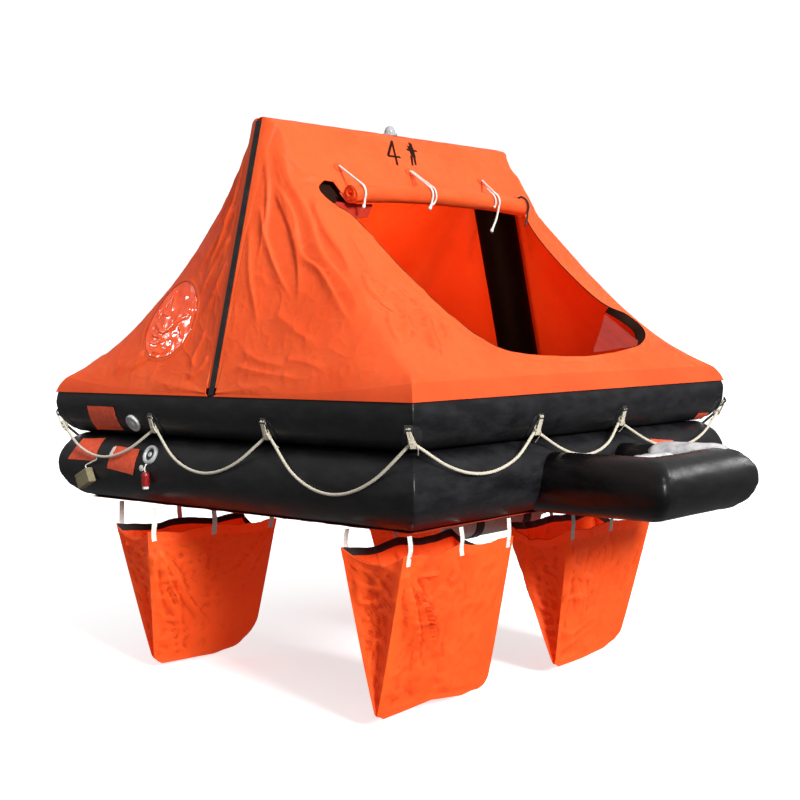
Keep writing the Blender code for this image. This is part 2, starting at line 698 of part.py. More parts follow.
def tube_point(along, height_angle, z_tube, side="left", clear=0.0):
    """Point on a tube's outer surface: side left is -X (along is y), side front is -Y (along is x)."""
    r = TUBE_R + clear
    out, z = HALF + r * math.cos(height_angle), z_tube + r * math.sin(height_angle)
    at = {"left": (-out, along), "front": (along, -out), "right": (out, along), "back": (along, out)}[side]
    normal = {"left": (-1, 0), "front": (0, -1), "right": (1, 0), "back": (0, 1)}[side]
    n = Vector((normal[0] * math.cos(height_angle), normal[1] * math.cos(height_angle), math.sin(height_angle)))
    return Vector((*at, z)), n


def surface_disc(name, along, z, z_tube, side, radius, height, kind, steps=24):
    """A disc whose back sits on the tube; a saddle cut fits it to the round."""
    ang = math.asin((z - z_tube) / TUBE_R)
    at, n = tube_point(along, ang, z_tube, side)
    disc = add_object(name, cylinder_mesh(radius, height + SINK, at + n * (height - SINK) / 2, n, steps), kind)
    cutter = bpy.data.objects.get("lower_tube_space" if z_tube == LOWER_Z else "upper_tube_space")
    boolean(disc, cutter)
    return at, n


VALVE_H = 0.010
UPPER_VALVE = (0.435, 0.25, 0.032)      # place along the left side, height, radius
LOWER_VALVE = (0.336, 0.144, 0.034)
SMALL_VALVE, SMALL_VALVE_H = (0.371, 0.098, 0.011), 0.008
PLUG_R, PLUG_LEN = 0.014, 0.058
PLUG_TOP = (0.334, 0.088)               # place along the side, height
PLUG_CORD_R = 0.002


def valves():
    """The valves, and the red plug that hangs on its cord from the lower relief valve's rim."""
    surface_disc("relief_valve_upper", UPPER_VALVE[0], UPPER_VALVE[1], UPPER_Z, "left", UPPER_VALVE[2],
                 VALVE_H, "grey")
    along, z, radius = LOWER_VALVE
    at, n = surface_disc("relief_valve_lower", along, z, LOWER_Z, "left", radius, VALVE_H, "grey")
    surface_disc("inflation_valve", SMALL_VALVE[0], SMALL_VALVE[1], LOWER_Z, "left", SMALL_VALVE[2],
                 SMALL_VALVE_H, "white", 16)
    down = Vector((n.z, 0, -n.x)) * -1
    rim = at + n * (VALVE_H / 2) + down * (radius + 2 * GAP)
    tag_top = Vector((-(HALF + TUBE_R + PLUG_R + 0.0005), *PLUG_TOP))
    route = [rim, rim + down * 0.008, tag_top + Vector((0, 0, 0.008)), tag_top + Vector((0, 0, GAP))]
    cord_tube("plug_cord", smooth_route(route, 0.006), PLUG_CORD_R, "white")
    profile = [(0, 0), (0.011, 0), (PLUG_R, 0.006), (PLUG_R, 0.052), (0.009, PLUG_LEN), (0, PLUG_LEN)]
    turned("plug_tag", profile, tag_top - Vector((0, 0, PLUG_LEN)), (0, 0, 1), "red", 16)


BATTERY = (0.03, 0.077, 0.054)
BATTERY_TILT = math.radians(-25)


def canopy_light():
    profile = [(0, 0), (0.028, 0), (0.028, 0.006), (0.019, 0.010), (0.019, 0.018), (0.014, 0.028),
               (0.007, 0.033), (0, 0.034)]
    turned("canopy_light", profile, (0, 0, RIDGE_Z + GAP), (0, 0, 1), "grey", 20)


def light_battery():
    """The light's water-activated battery, hung by its cord from the lifeline against the lower tube."""
    tilt = Matrix.Rotation(BATTERY_TILT, 3, "X")
    centre = Vector((-(HALF + TUBE_R + 0.0004 + BATTERY[0] / 2), 0.684, 0.046))
    add_object("light_battery", box_mesh(BATTERY, centre, tilt), "tan")
    up = tilt @ Vector((0, 0, 1))
    top = centre + tilt @ Vector((0, -0.025, BATTERY[2] / 2)) + up * 0.0009
    line = span_point(3, 0, 0.43) + Vector((0, 0, -LINE_R - 0.0008))
    route = [line, line + Vector((-0.001, 0.003, -0.010)), top + up * 0.012, top]
    cord_tube("battery_cord", smooth_route(route, 0.008), 0.0022, "rope")


# lifeline fixing points, each with its place along the side and the sag of the span that follows it
LINE_STOPS = (
    ((-0.81, 0.10), (-0.276, 0.085), (0.201, 0.10)),     # front, left to right
    ((-0.81, 0.12), (-0.262, 0.12), (0.262, 0.12)),      # right, front to back
    ((-0.81, 0.12), (-0.262, 0.12), (0.262, 0.12)),      # back, right to left
    ((-0.81, 0.10), (-0.321, 0.126), (0.249, 0.155)),    # left, back to front
)
LINE_Z = 0.235
LINE_ANGLE = math.asin((LINE_Z - UPPER_Z) / TUBE_R)
LINE_R = 0.005
TAB_T = 0.003                    # reinforcement patch on the tube
TAB_H = 0.045
TAB_HALF = 0.026                 # half length of a patch along its side
LINE_OUT = TAB_T + 0.009         # rope centre to the tube's surface at a fixing point
RING_R, RING_HALF = 0.0095, 0.008
SPAN_START = (0.016, 0.010)      # the rope runs level this far from a corner, and from another fixing point
CORNER_OUT = 0.006
SPAN_POINTS = 5


def around(side, along, out, z):
    """A point at a distance out from the plan centre; sides 0 front, 1 right, 2 back, 3 left."""
    return Matrix.Rotation(side * math.pi / 2, 3, "Z") @ Vector((along, -out, z))


def line_stop(side, i):
    """Where the rope passes a fixing point; the first of each side is on the corner's mitre."""
    out = HALF + (TUBE_R + LINE_OUT) * math.cos(LINE_ANGLE)
    z = UPPER_Z + (TUBE_R + LINE_OUT) * math.sin(LINE_ANGLE)
    if i == 0:
        return around(side, -(out + CORNER_OUT), out + CORNER_OUT, z)
    return around(side, LINE_STOPS[side][i][0], out, z)


def span_point(side, i, share):
    """A point of the span that follows a fixing point, lying along the tubes as it hangs."""
    at_start = around(side, SPAN_START[i > 0], 0, 0)
    at_end = around(side, SPAN_START[i < 2], 0, 0)
    a = line_stop(side, i) + at_start
    b = (line_stop(side, i + 1) if i < 2 else line_stop((side + 1) % 4, 0)) - at_end
    hang = 4 * share * (1 - share)
    p = a.lerp(b, share)
    p.z -= LINE_STOPS[side][i][1] * hang
    belly = HALF + TUBE_R + LINE_R + 0.003
    outward = around(side, 0, 1, 0)
    p += outward * ((belly - p.dot(outward)) * min(1.0, 1.2 * hang))
    return p


def lifeline():
    """One rope right round the raft, whose two ends meet in the front left corner's loop."""
    route = [span_point(side, i, n / SPAN_POINTS)
             for side in range(4) for i in range(3) for n in range(SPAN_POINTS + 1)]
    middle = (route[0] + route[-1]) / 2
    away = (route[0] - route[-1]).normalized() * (GAP / 2)
    cord_tube("lifeline", [middle + away] + route + [middle - away], LINE_R, "rope")


def patch_box(side, along):
    """A flat patch on the upper tube at the rope's height, sunk into it for the round cut."""
    turn = Matrix.Rotation(side * math.pi / 2, 3, "Z")
    n = turn @ Vector((0, -math.cos(LINE_ANGLE), math.sin(LINE_ANGLE)))
    at = around(side, along, HALF, UPPER_Z) + n * (TUBE_R + (TAB_T - SINK) / 2)
    tilt = turn @ Matrix.Rotation(-LINE_ANGLE, 3, "X")
    return box_mesh((2 * TAB_HALF, TAB_T + SINK, TAB_H), at, tilt)


def lifeline_tab(name, side, i):
    """A patch on the tube with a webbing loop round the rope; at a corner, a patch on each side."""
    if i == 0:
        before = line_stop(side, 0) + around(side, 0, -SPAN_START[0], 0)
        after = line_stop(side, 0) + around(side, SPAN_START[0], 0, 0)
        rope_at, run = (before + after) / 2, (after - before).normalized()
        corner = HALF + TUBE_R * math.cos(LINE_ANGLE)
        tab = add_object(name, patch_box(side, -corner + TAB_HALF - 0.004), "black")
        other = add_object(name + "_other", patch_box((side + 3) % 4, corner - TAB_HALF + 0.004), "black")
        boolean(tab, as_cutter(other), "UNION")
        core = around(side, -HALF, HALF, UPPER_Z)
    else:
        rope_at, run = line_stop(side, i), around(side, 1, 0, 0)
        tab = add_object(name, patch_box(side, LINE_STOPS[side][i][0]), "black")
        core = around(side, LINE_STOPS[side][i][0], HALF, UPPER_Z)
    inward = (core - rope_at).normalized()
    across = run.cross(inward)
    frame = Matrix((run, across, inward)).transposed()
    reach = LINE_OUT + 0.008
    neck = box_mesh((2 * RING_HALF - 0.002, 0.012, reach), rope_at + inward * (reach / 2), frame)
    ring = cylinder_mesh(RING_R, 2 * RING_HALF, rope_at, run, 16)
    hole = cylinder_mesh(LINE_R + 2 * GAP, 4 * RING_HALF, rope_at, run, 16)
    boolean(tab, as_cutter(add_object(name + "_neck", neck, "black")), "UNION")
    boolean(tab, as_cutter(add_object(name + "_ring", ring, "black")), "UNION")
    boolean(tab, as_cutter(add_object(name + "_hole", hole, "black")))
    boolean(tab, bpy.data.objects["upper_tube_space"])


def lifeline_tabs():
    for number in range(12):
        lifeline_tab(f"lifeline_tab_{number + 1:02d}", number // 3, number % 3)


# towing point on the right side: a patch with a webbing sleeve, and a square ring that hangs in it
TOW_Y, TOW_Z = -0.20, 0.115
TOW_PATCH_R = 0.055
TOW_BAR = 0.005
TOW_RING = (0.050, 0.046)        # width and height between bar centres
SLEEVE = (0.014, 0.032, 0.014)


def towing_point():
    skin = HALF + TUBE_R
    bar_x = skin + 0.0095
    at, n = tube_point(TOW_Y, 0.0, LOWER_Z, "right")
    patch = add_object("towing_patch", cylinder_mesh(TOW_PATCH_R, 0.034, at - n * 0.013, n, 32), "black")
    sleeve = box_mesh((SLEEVE[0] + 0.02, SLEEVE[1], SLEEVE[2]), (bar_x - 0.01, TOW_Y, TOW_Z))
    slot = box_mesh((TOW_BAR + 0.0012, 0.1, TOW_BAR + 0.0012), (bar_x, TOW_Y, TOW_Z))
    boolean(patch, as_cutter(add_object("towing_sleeve", sleeve, "black")), "UNION")
    boolean(patch, as_cutter(add_object("towing_slot", slot, "black")))
    boolean(patch, bpy.data.objects["lower_tube_space"])
    half, drop, r = TOW_RING[0] / 2, TOW_RING[1], TOW_BAR / 2
    path = [(bar_x, TOW_Y - half, TOW_Z), (bar_x, TOW_Y + half, TOW_Z),
            (bar_x, TOW_Y + half, TOW_Z - drop), (bar_x, TOW_Y - half, TOW_Z - drop)]
    section = [(-r, -r), (r, -r), (r, r), (-r, r)]
    add_object("towing_ring", mitred_sweep(path, section, (1, 0, 0), True), "grey")


def build():
    buoyancy_tubes()
    floor_sheet()
    canopy_arch()
    grid = canopy()
    arch_strips()
    height = slope_reader(grid)
    door_roll(height)
    door_ties(height)
    platform()
    for row in BAGS:
        ballast_bag(*row)
    gas_cylinder()
    valves()
    canopy_light()
    light_battery()
    lifeline()
    lifeline_tabs()
    towing_point()


build()
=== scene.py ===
"""The looks of the inflatable life raft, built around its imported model. Metres, +Z up.

The plan centre is at the light waterline. X runs along the canopy ridge; the doorway and the
boarding platform are on the -Y side.
"""
import math

import bmesh
import bpy
import numpy as np
from mathutils import Matrix, Vector
from mathutils.bvhtree import BVHTree

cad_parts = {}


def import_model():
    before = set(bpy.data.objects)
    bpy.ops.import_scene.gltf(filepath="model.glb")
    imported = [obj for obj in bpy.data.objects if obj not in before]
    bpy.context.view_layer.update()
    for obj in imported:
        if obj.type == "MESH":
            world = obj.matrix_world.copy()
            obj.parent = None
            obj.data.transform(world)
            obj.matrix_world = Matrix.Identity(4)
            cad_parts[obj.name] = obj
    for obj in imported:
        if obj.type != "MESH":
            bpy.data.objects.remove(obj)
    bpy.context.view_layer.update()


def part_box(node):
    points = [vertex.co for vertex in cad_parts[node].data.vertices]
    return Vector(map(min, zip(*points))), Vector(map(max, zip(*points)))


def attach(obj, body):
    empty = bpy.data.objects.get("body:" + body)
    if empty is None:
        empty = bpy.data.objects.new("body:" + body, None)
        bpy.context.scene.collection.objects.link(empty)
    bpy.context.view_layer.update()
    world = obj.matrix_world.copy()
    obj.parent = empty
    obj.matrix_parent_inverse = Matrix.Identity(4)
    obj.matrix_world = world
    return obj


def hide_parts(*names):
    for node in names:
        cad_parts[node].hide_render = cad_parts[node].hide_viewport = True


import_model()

# camera: place, directions in radians and focal length in pixels, fitted to the photograph
CAMERA_AT = (-3.680, -3.382, 0.547)
YAW, PITCH, ROLL = 0.7387, -0.0498, -0.0155
FOCAL_PX, IMAGE_PX, SENSOR_MM = 1349.96, 800, 36.0

# driving sizes of the raft, as the frame has them
TUBE_R = 0.125
HALF = 0.75
LOWER_Z, UPPER_Z = 0.09, 0.315
CONTACT_Z = (LOWER_Z + UPPER_Z) / 2
TUBE_FLAT = CONTACT_Z - LOWER_Z - 0.00015
TUBE_BOTTOM = LOWER_Z - TUBE_R
FLOOR_HALF, FLOOR_T = 0.79, 0.003
FLOOR_TOP = TUBE_BOTTOM - 0.0003
FLOOR_BOTTOM = FLOOR_TOP - FLOOR_T
RIDGE_HALF, RIDGE_Z = 0.64, 1.27
SKIN = 0.005
HEM_ANGLE, HEM_CLEAR = math.radians(16), 0.0012
HEM_R = TUBE_R + SKIN + HEM_CLEAR
HEM_OUT = HALF + HEM_R * math.cos(HEM_ANGLE)
HEM_Z = UPPER_Z + HEM_R * math.sin(HEM_ANGLE)
ARCH_R, ARCH_CLEAR = 0.08, 0.0012
STRIP_HALF = 0.0125
STRIP_EDGE = STRIP_HALF + 0.0021
RIDGE_EDGE = 0.0035
GROUND_Z = -0.63


# Numbers and grids

def mixed(cell, seed):
    """A steady value from 0 to 1 for every whole-number cell."""
    h = (cell[..., 0] * 73856093) ^ (cell[..., 1] * 19349663) ^ (cell[..., 2] * 83492791) ^ (seed * 2654435)
    h = ((h ^ (h >> 13)) * 1274126177) & 0xFFFFFFFF
    h = ((h ^ (h >> 15)) * 2246822519) & 0xFFFFFFFF
    return (h ^ (h >> 16)) / 0xFFFFFFFF


def noise(points, size, seed=0):
    """Smooth noise from -1 to 1; size is that of its cells, one number or one for each axis."""
    p = np.asarray(points, float) / np.asarray(size, float)
    low = np.floor(p).astype(np.int64)
    f = p - low
    f = f * f * (3 - 2 * f)
    total = 0.0
    for corner in np.ndindex(2, 2, 2):
        c = np.array(corner)
        weight = np.prod(np.where(c, f, 1 - f), axis=-1)
        total = total + weight * mixed(low + c, seed)
    return total * 2 - 1


def smoothstep(x, low, high):
    t = np.clip((x - low) / (high - low), 0, 1)
    return t * t * (3 - 2 * t)


def spline(points, at):
    """Reads a smooth curve through points (along axis 0) at the given places, in units of points."""
    p = np.asarray(points, float)
    p = np.concatenate([2 * p[:1] - p[1:2], p, 2 * p[-1:] - p[-2:-1]])
    at = np.clip(np.asarray(at, float), 0, len(points) - 1)
    i = np.minimum(at.astype(int), len(points) - 2)
    t = (at - i).reshape((-1,) + (1,) * (p.ndim - 1))
    a, b, c, d = p[i], p[i + 1], p[i + 2], p[i + 3]
    square, cube = 2 * a - 5 * b + 4 * c - d, 3 * b - a - 3 * c + d
    return 0.5 * (2 * b + (c - a) * t + square * t ** 2 + cube * t ** 3)


def smooth(points, each):
    """A smooth curve through the points, with each steps between two of them."""
    return spline(points, np.linspace(0, len(points) - 1, each * (len(points) - 1) + 1))


def lengths(path):
    """The length passed at every point of a path."""
    return np.concatenate([[0], np.cumsum(np.linalg.norm(np.diff(path, axis=0), axis=1))])


def spaced(points, step):
    """A smooth curve through the points, read again at even steps along its length."""
    fine = smooth(points, 24)
    along = lengths(fine)
    at = np.linspace(0, along[-1], max(2, round(along[-1] / step) + 1))
    return np.stack([np.interp(at, along, fine[:, k]) for k in range(3)], axis=1)


def unit(v):
    return v / np.maximum(np.linalg.norm(v, axis=-1, keepdims=True), 1e-12)


def steps_round(n):
    """The angles of n even steps round a circle."""
    return np.arange(n) * math.tau / n


def polar(r, a):
    return np.stack([r * np.cos(a), r * np.sin(a)], -1)


def circle(radius, sides):
    return polar(radius, steps_round(sides))


def disc_grid(n):
    """Places inside the unit circle, as a square grid pulled round."""
    u, v = np.meshgrid(np.linspace(-1, 1, n), np.linspace(-1, 1, n))
    return u * np.sqrt(1 - v * v / 2), v * np.sqrt(1 - u * u / 2)


def between(corners, c, r):
    """Places between four corners, at the shares c across and r down."""
    weights = ((1 - c) * (1 - r), c * (1 - r), c * r, (1 - c) * r)
    return sum(w[..., None] * np.array(q) for w, q in zip(weights, corners))


def turned_steps(grid, axis, wrap):
    if wrap:
        return np.roll(grid, -1, axis) - np.roll(grid, 1, axis)
    return np.gradient(grid, axis=axis)


def grid_normals(grid, wrap=False):
    """Normals of a grid of points; wrap joins its last column to its first."""
    return unit(np.cross(turned_steps(grid, 0, False), turned_steps(grid, 1, wrap)))


def quads(rows, cols, wrap=False, start=0):
    index = start + np.arange(rows * cols).reshape(rows, cols)
    if wrap:
        index = np.concatenate([index, index[:, :1]], axis=1)
    return np.stack([index[:-1, :-1], index[1:, :-1], index[1:, 1:], index[:-1, 1:]], -1).reshape(-1, 4)


# Objects

def add(name, mesh, mat, sharp=50):
    mesh.materials.append(mat)
    mesh.shade_smooth()
    mesh.set_sharp_from_angle(angle=math.radians(sharp))
    obj = bpy.data.objects.new(name, mesh)
    bpy.context.scene.collection.objects.link(obj)
    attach(obj, "root")
    return obj


def solid(name, points, faces, mat, sharp=50):
    """A closed body from points and faces of one winding, turned to face outward."""
    mesh = bpy.data.meshes.new(name)
    mesh.from_pydata(np.asarray(points, float).reshape(-1, 3).tolist(), [], faces)
    mesh.update()
    mesh.calc_loop_triangles()
    tri = np.zeros(len(mesh.loop_triangles) * 3, np.int32)
    mesh.loop_triangles.foreach_get("vertices", tri)
    p = np.asarray(points, float).reshape(-1, 3)
    a, b, c = (p[tri.reshape(-1, 3)[:, k]] for k in range(3))
    if (a * np.cross(b, c)).sum() < 0:
        mesh.flip_normals()
    return add(name, mesh, mat, sharp)


def border(rows, cols, start):
    """Vertex numbers round the edge of a grid."""
    index = start + np.arange(rows * cols).reshape(rows, cols)
    return np.concatenate([index[0, :-1], index[:-1, -1], index[-1, :0:-1], index[:0:-1, 0]])


def shell(name, outer, inner, mat, wrap=False, sharp=50):
    """A closed skin between two grids; the inner grid may be coarser by a whole number."""
    rows, cols = outer.shape[:2]
    low_rows, low_cols = inner.shape[:2]
    first = rows * cols
    step = (rows - 1) // (low_rows - 1)
    faces = quads(rows, cols, wrap).tolist()
    faces += quads(low_rows, low_cols, wrap, first)[:, ::-1].tolist()
    if wrap:
        loops = [(r * cols + np.arange(cols), first + r2 * low_cols + np.arange(low_cols), turn)
                 for r, r2, turn in ((0, 0, 1), (rows - 1, low_rows - 1, -1))]
    else:
        loops = [(border(rows, cols, 0), border(low_rows, low_cols, first), 1)]
    for fine, coarse, turn in loops:
        n = len(coarse)
        for k in range(n):
            run = [int(fine[(k * step + i) % len(fine)]) for i in range(step + 1)]
            face = run + [int(coarse[(k + 1) % n]), int(coarse[k])]
            faces.append(face[::turn])
    points = np.concatenate([outer.reshape(-1, 3), inner.reshape(-1, 3)])
    return solid(name, points, faces, mat, sharp)


def frames(path, closed, up):
    """Two cross directions along a path, turned as little as possible."""
    if closed:
        tangent = unit(np.roll(path, -1, 0) - np.roll(path, 1, 0))
    else:
        tangent = unit(np.gradient(path, axis=0))
    side = np.zeros_like(path)
    ref = np.array(up if up is not None else (0.0, 0.0, 1.0))
    if abs(ref @ tangent[0]) > 0.95:
        ref = np.array((1.0, 0.0, 0.0))
    for i, t in enumerate(tangent):
        ref = ref - t * (ref @ t)
        ref = ref / np.linalg.norm(ref)
        side[i] = ref
        if up is not None:
            ref = np.array(up, float)
    return side, np.cross(tangent, side)


def grid_solid(name, grid, closed, mat, sharp=60):
    """A tube from rings of points; an open one gets end caps."""
    n, m = grid.shape[:2]
    if closed:
        faces = quads(n + 1, m, True)
        faces = np.where(faces >= n * m, faces - n * m, faces).tolist()
    else:
        faces = quads(n, m, True).tolist()
        faces += [list(range(m)), list(range((n - 1) * m, n * m))[::-1]]
    return solid(name, grid, faces, mat, sharp)


def swept(name, path, section, mat, closed=False, sharp=50, up=None):
    """Sweeps a section, one outline (m, 2) or one for each station (n, m, 2), along a path."""
    path = np.asarray(path, float)
    u, v = frames(path, closed, up)
    section = np.broadcast_to(np.asarray(section, float), (len(path),) + np.shape(section)[-2:])
    grid = path[:, None] + section[..., :1] * u[:, None] + section[..., 1:] * v[:, None]
    return grid_solid(name, grid, closed, mat, sharp)


def laid(name, path, radius, mat, pitch=0.02, sides=15, knots=(), depth=0.20):
    """A laid cord, depth its grooves' share; knots are thicker stretches: (place, half length)."""
    a = steps_round(sides)
    run = lengths(path)
    crests = abs(np.cos(1.5 * (a[None] - run[:, None] * math.tau / pitch)))
    r = radius * (1.02 - depth + depth * crests)
    for at, half in knots:
        r = r * (1 + 0.62 * np.exp(-((run - at) / half) ** 4))[:, None]
    return swept(name, path, polar(r, a), mat, sharp=80)


def hangs(path, every=1):
    """Thins a limp cord's path to every n-th point and its end; nothing is done with the result."""
    shown = path[::every].tolist()
    if every > 1:
        shown.append(path[-1].tolist())


def lathe(name, profile, at, axis, mat, steps=40, sharp=35, ripple=None):
    """Turns a profile of (radius, distance along the axis) whose ends are on the axis."""
    axis = Vector(axis).normalized()
    turn = Vector((0, 0, 1)).rotation_difference(axis).to_matrix()
    a = steps_round(steps)
    points, faces, rings = [], [], []
    for r, h in profile:
        start = len(points)
        if r < 1e-6:
            points.append((0, 0, h))
            rings.append([start] * steps)
            continue
        rr = r * np.ones(steps) if ripple is None else r * ripple(a, h)
        points += list(zip(rr * np.cos(a), rr * np.sin(a), np.full(steps, h)))
        rings.append(list(range(start, start + steps)))
    for low, high in zip(rings[:-1], rings[1:]):
        for i in range(steps):
            k = (i + 1) % steps
            face = list(dict.fromkeys((low[i], low[k], high[k], high[i])))
            if len(face) > 2:
                faces.append(face)
    points = np.array(points) @ np.array(turn).T + np.array(at)
    return solid(name, points, faces, mat, sharp)


def rounded_box(name, size, at, turn, bevel, mat, segments=4):
    bm = bmesh.new()
    bmesh.ops.create_cube(bm, size=1.0)
    bmesh.ops.scale(bm, vec=Vector(size), verts=bm.verts)
    bmesh.ops.bevel(bm, geom=bm.edges[:], offset=bevel, segments=segments, profile=0.6, affect="EDGES")
    bmesh.ops.transform(bm, matrix=Matrix.Translation(at) @ turn.to_4x4(), verts=bm.verts)
    mesh = bpy.data.meshes.new(name)
    bm.to_mesh(mesh)
    bm.free()
    return add(name, mesh, mat, 30)


def joined(name, objects):
    """Makes one piece of several; the first one's name and body go on."""
    bpy.ops.object.select_all(action="DESELECT")
    for o in objects:
        o.select_set(True)
    bpy.context.view_layer.objects.active = objects[0]
    bpy.ops.object.join()
    objects[0].name = name
    return objects[0]


def cut(obj, cutter):
    """Cuts a closed piece and keeps the result in its mesh; the cutter goes."""
    mod = obj.modifiers.new("cut", "BOOLEAN")
    mod.operation = "DIFFERENCE"
    mod.object = cutter
    mod.solver = "MANIFOLD"
    graph = bpy.context.evaluated_depsgraph_get()
    mesh = bpy.data.meshes.new_from_object(obj.evaluated_get(graph))
    obj.modifiers.clear()
    old = obj.data
    obj.data = mesh
    bpy.data.meshes.remove(old)
    bpy.data.objects.remove(cutter, do_unlink=True)
    return obj


# Materials

def given(target, **values):
    """Sets inputs of a node by name; an underscore stands for a space."""
    for key, value in values.items():
        target.inputs[key.replace("_", " ")].default_value = value
    return target


def noise_node(tree, scale, detail=4.0, rough=0.55, stretch=(1, 1, 1)):
    place = tree.nodes.new("ShaderNodeTexCoord")
    turn = given(tree.nodes.new("ShaderNodeMapping"), Scale=stretch)
    tex = given(tree.nodes.new("ShaderNodeTexNoise"), Scale=scale, Detail=detail, Roughness=rough)
    tree.links.new(place.outputs["Object"], turn.inputs["Vector"])
    tree.links.new(turn.outputs["Vector"], tex.inputs["Vector"])
    return tex.outputs["Fac"]


def ramp(tree, source, stops):
    """Colour stops, as (place, colour) pairs, read by a texture's value."""
    r = tree.nodes.new("ShaderNodeValToRGB")
    r.color_ramp.elements[0].position, r.color_ramp.elements[0].color = stops[0][0], (*stops[0][1], 1)
    r.color_ramp.elements[1].position, r.color_ramp.elements[1].color = stops[-1][0], (*stops[-1][1], 1)
    for place, colour in stops[1:-1]:
        e = r.color_ramp.elements.new(place)
        e.color = (*colour, 1)
    tree.links.new(source, r.inputs["Fac"])
    return r.outputs["Color"]


def spread(tree, source, low, high):
    """Maps a texture's middle values on to a range."""
    m = given(tree.nodes.new("ShaderNodeMapRange"), From_Min=0.3, From_Max=0.7, To_Min=low, To_Max=high)
    tree.links.new(source, m.inputs["Value"])
    return m.outputs["Result"]


def bumped(tree, shader, layers):
    """Stacks bump layers, each (height output, strength, distance)."""
    last = None
    for height, strength, distance in layers:
        b = given(tree.nodes.new("ShaderNodeBump"), Strength=strength, Distance=distance)
        tree.links.new(height, b.inputs["Height"])
        if last is not None:
            tree.links.new(last, b.inputs["Normal"])
        last = b.outputs["Normal"]
    tree.links.new(last, shader.inputs["Normal"])


def new_material(name, roughness=0.6, metallic=0.0, specular=0.5):
    mat = bpy.data.materials.new(name)
    mat.use_nodes = True
    shader = mat.node_tree.nodes["Principled BSDF"]
    given(shader, Roughness=roughness, Metallic=metallic, Specular_IOR_Level=specular)
    return mat, mat.node_tree, shader


def textured(tree, shader, source, stops, rough_range=None):
    """Colour, and roughness where its range is given, that follow one texture."""
    tree.links.new(ramp(tree, source, stops), shader.inputs["Base Color"])
    if rough_range:
        tree.links.new(spread(tree, source, *rough_range), shader.inputs["Roughness"])


def fabric(name, light, dark, roughness=0.55, glow=0.0, painted_glow=0.0):
    """Coated cloth: faded patches, a fine weave, painted shade in its creases and, where glow is set, light
    that comes through; its emission, where set, adds a painted glow that stands in for that light.
    """
    mat, tree, shader = new_material(name, roughness, specular=0.2)
    colour = ramp(tree, noise_node(tree, 3.0, 5.0), [(0.32, dark), (0.62, light)])
    # painted shade: the cloth's colour is darkened where it bends into creases
    bend = tree.nodes.new("ShaderNodeNewGeometry").outputs["Pointiness"]
    shade = ramp(tree, bend, [(0.470, (0.62, 0.50, 0.45)), (0.495, (1, 1, 1))])
    mix = tree.nodes.new("ShaderNodeMix")
    mix.data_type = "RGBA"
    mix.blend_type = "MULTIPLY"
    given(mix, Factor=1.0)
    tree.links.new(colour, mix.inputs[6])
    tree.links.new(shade, mix.inputs[7])
    tree.links.new(mix.outputs[2], shader.inputs["Base Color"])
    # painted glow: an orange-red emission that stands in for light coming through the cloth
    given(shader, Emission_Color=(1.0, 0.035, 0.001, 1), Emission_Strength=painted_glow)
    if glow:
        given(shader, Subsurface_Weight=glow, Subsurface_Radius=(1.0, 0.22, 0.06), Subsurface_Scale=0.012)
    grain, soft = noise_node(tree, 900.0, 2.0), noise_node(tree, 26.0, 4.0)
    rough = spread(tree, soft, roughness - 0.07, roughness + 0.09)
    tree.links.new(rough, shader.inputs["Roughness"])
    bumped(tree, shader, [(soft, 0.45, 0.005), (grain, 0.3, 0.0004)])
    return mat


def rubber(name, base=(0.0050, 0.0048, 0.0058), dusty=(0.020, 0.019, 0.022), roughness=0.38, specular=0.32):
    """Coated tube fabric: near black, satin, with scuffs and a faint texture."""
    mat, tree, shader = new_material(name, roughness, specular=specular)
    scuff = noise_node(tree, 7.0, 8.0, 0.68, (1, 1, 2.5))
    textured(tree, shader, scuff, [(0.44, base), (0.76, dusty)], (roughness - 0.07, roughness + 0.13))
    wavy, grain = noise_node(tree, 14.0, 3.0), noise_node(tree, 600.0, 2.0)
    bumped(tree, shader, [(wavy, 0.22, 0.006), (grain, 0.25, 0.0003)])
    return mat


def plain(name, light, dark, roughness=0.5, metallic=0.0, scale=60.0, bump=0.0004, specular=0.5):
    """Moulded, cast or painted stuff with slight variation."""
    mat, tree, shader = new_material(name, roughness, metallic, specular)
    tex = noise_node(tree, scale, 5.0)
    textured(tree, shader, tex, [(0.35, dark), (0.65, light)], (roughness - 0.08, roughness + 0.08))
    bumped(tree, shader, [(tex, 0.4, bump)])
    return mat


def yarn(name, light, dark, roughness=0.85):
    """Laid fibres: soft, with streaks along and fine hairs."""
    mat, tree, shader = new_material(name, roughness, specular=0.25)
    streak = noise_node(tree, 220.0, 4.0, 0.6)
    textured(tree, shader, streak, [(0.3, dark), (0.62, light)])
    given(shader, Sheen_Weight=0.25)
    bumped(tree, shader, [(streak, 0.6, 0.0009)])
    return mat


def film(name):
    """Clear window film, painted orange with a faint glow that stand in for the lit cabin seen through it."""
    mat, tree, shader = new_material(name, 0.08, specular=0.35)
    tex = noise_node(tree, 30.0, 3.0)
    # painted: the orange colour stands in for the lit inside seen through the film
    textured(tree, shader, tex, [(0.3, (0.92, 0.16, 0.04)), (0.7, (1.0, 0.24, 0.07))], (0.08, 0.18))
    given(shader, Transmission_Weight=0.5, IOR=1.22)
    # painted glow: the emission stands in for the lit cabin behind the film
    given(shader, Emission_Color=(1.0, 0.05, 0.004, 1), Emission_Strength=0.12)
    bumped(tree, shader, [(tex, 0.15, 0.001)])
    return mat


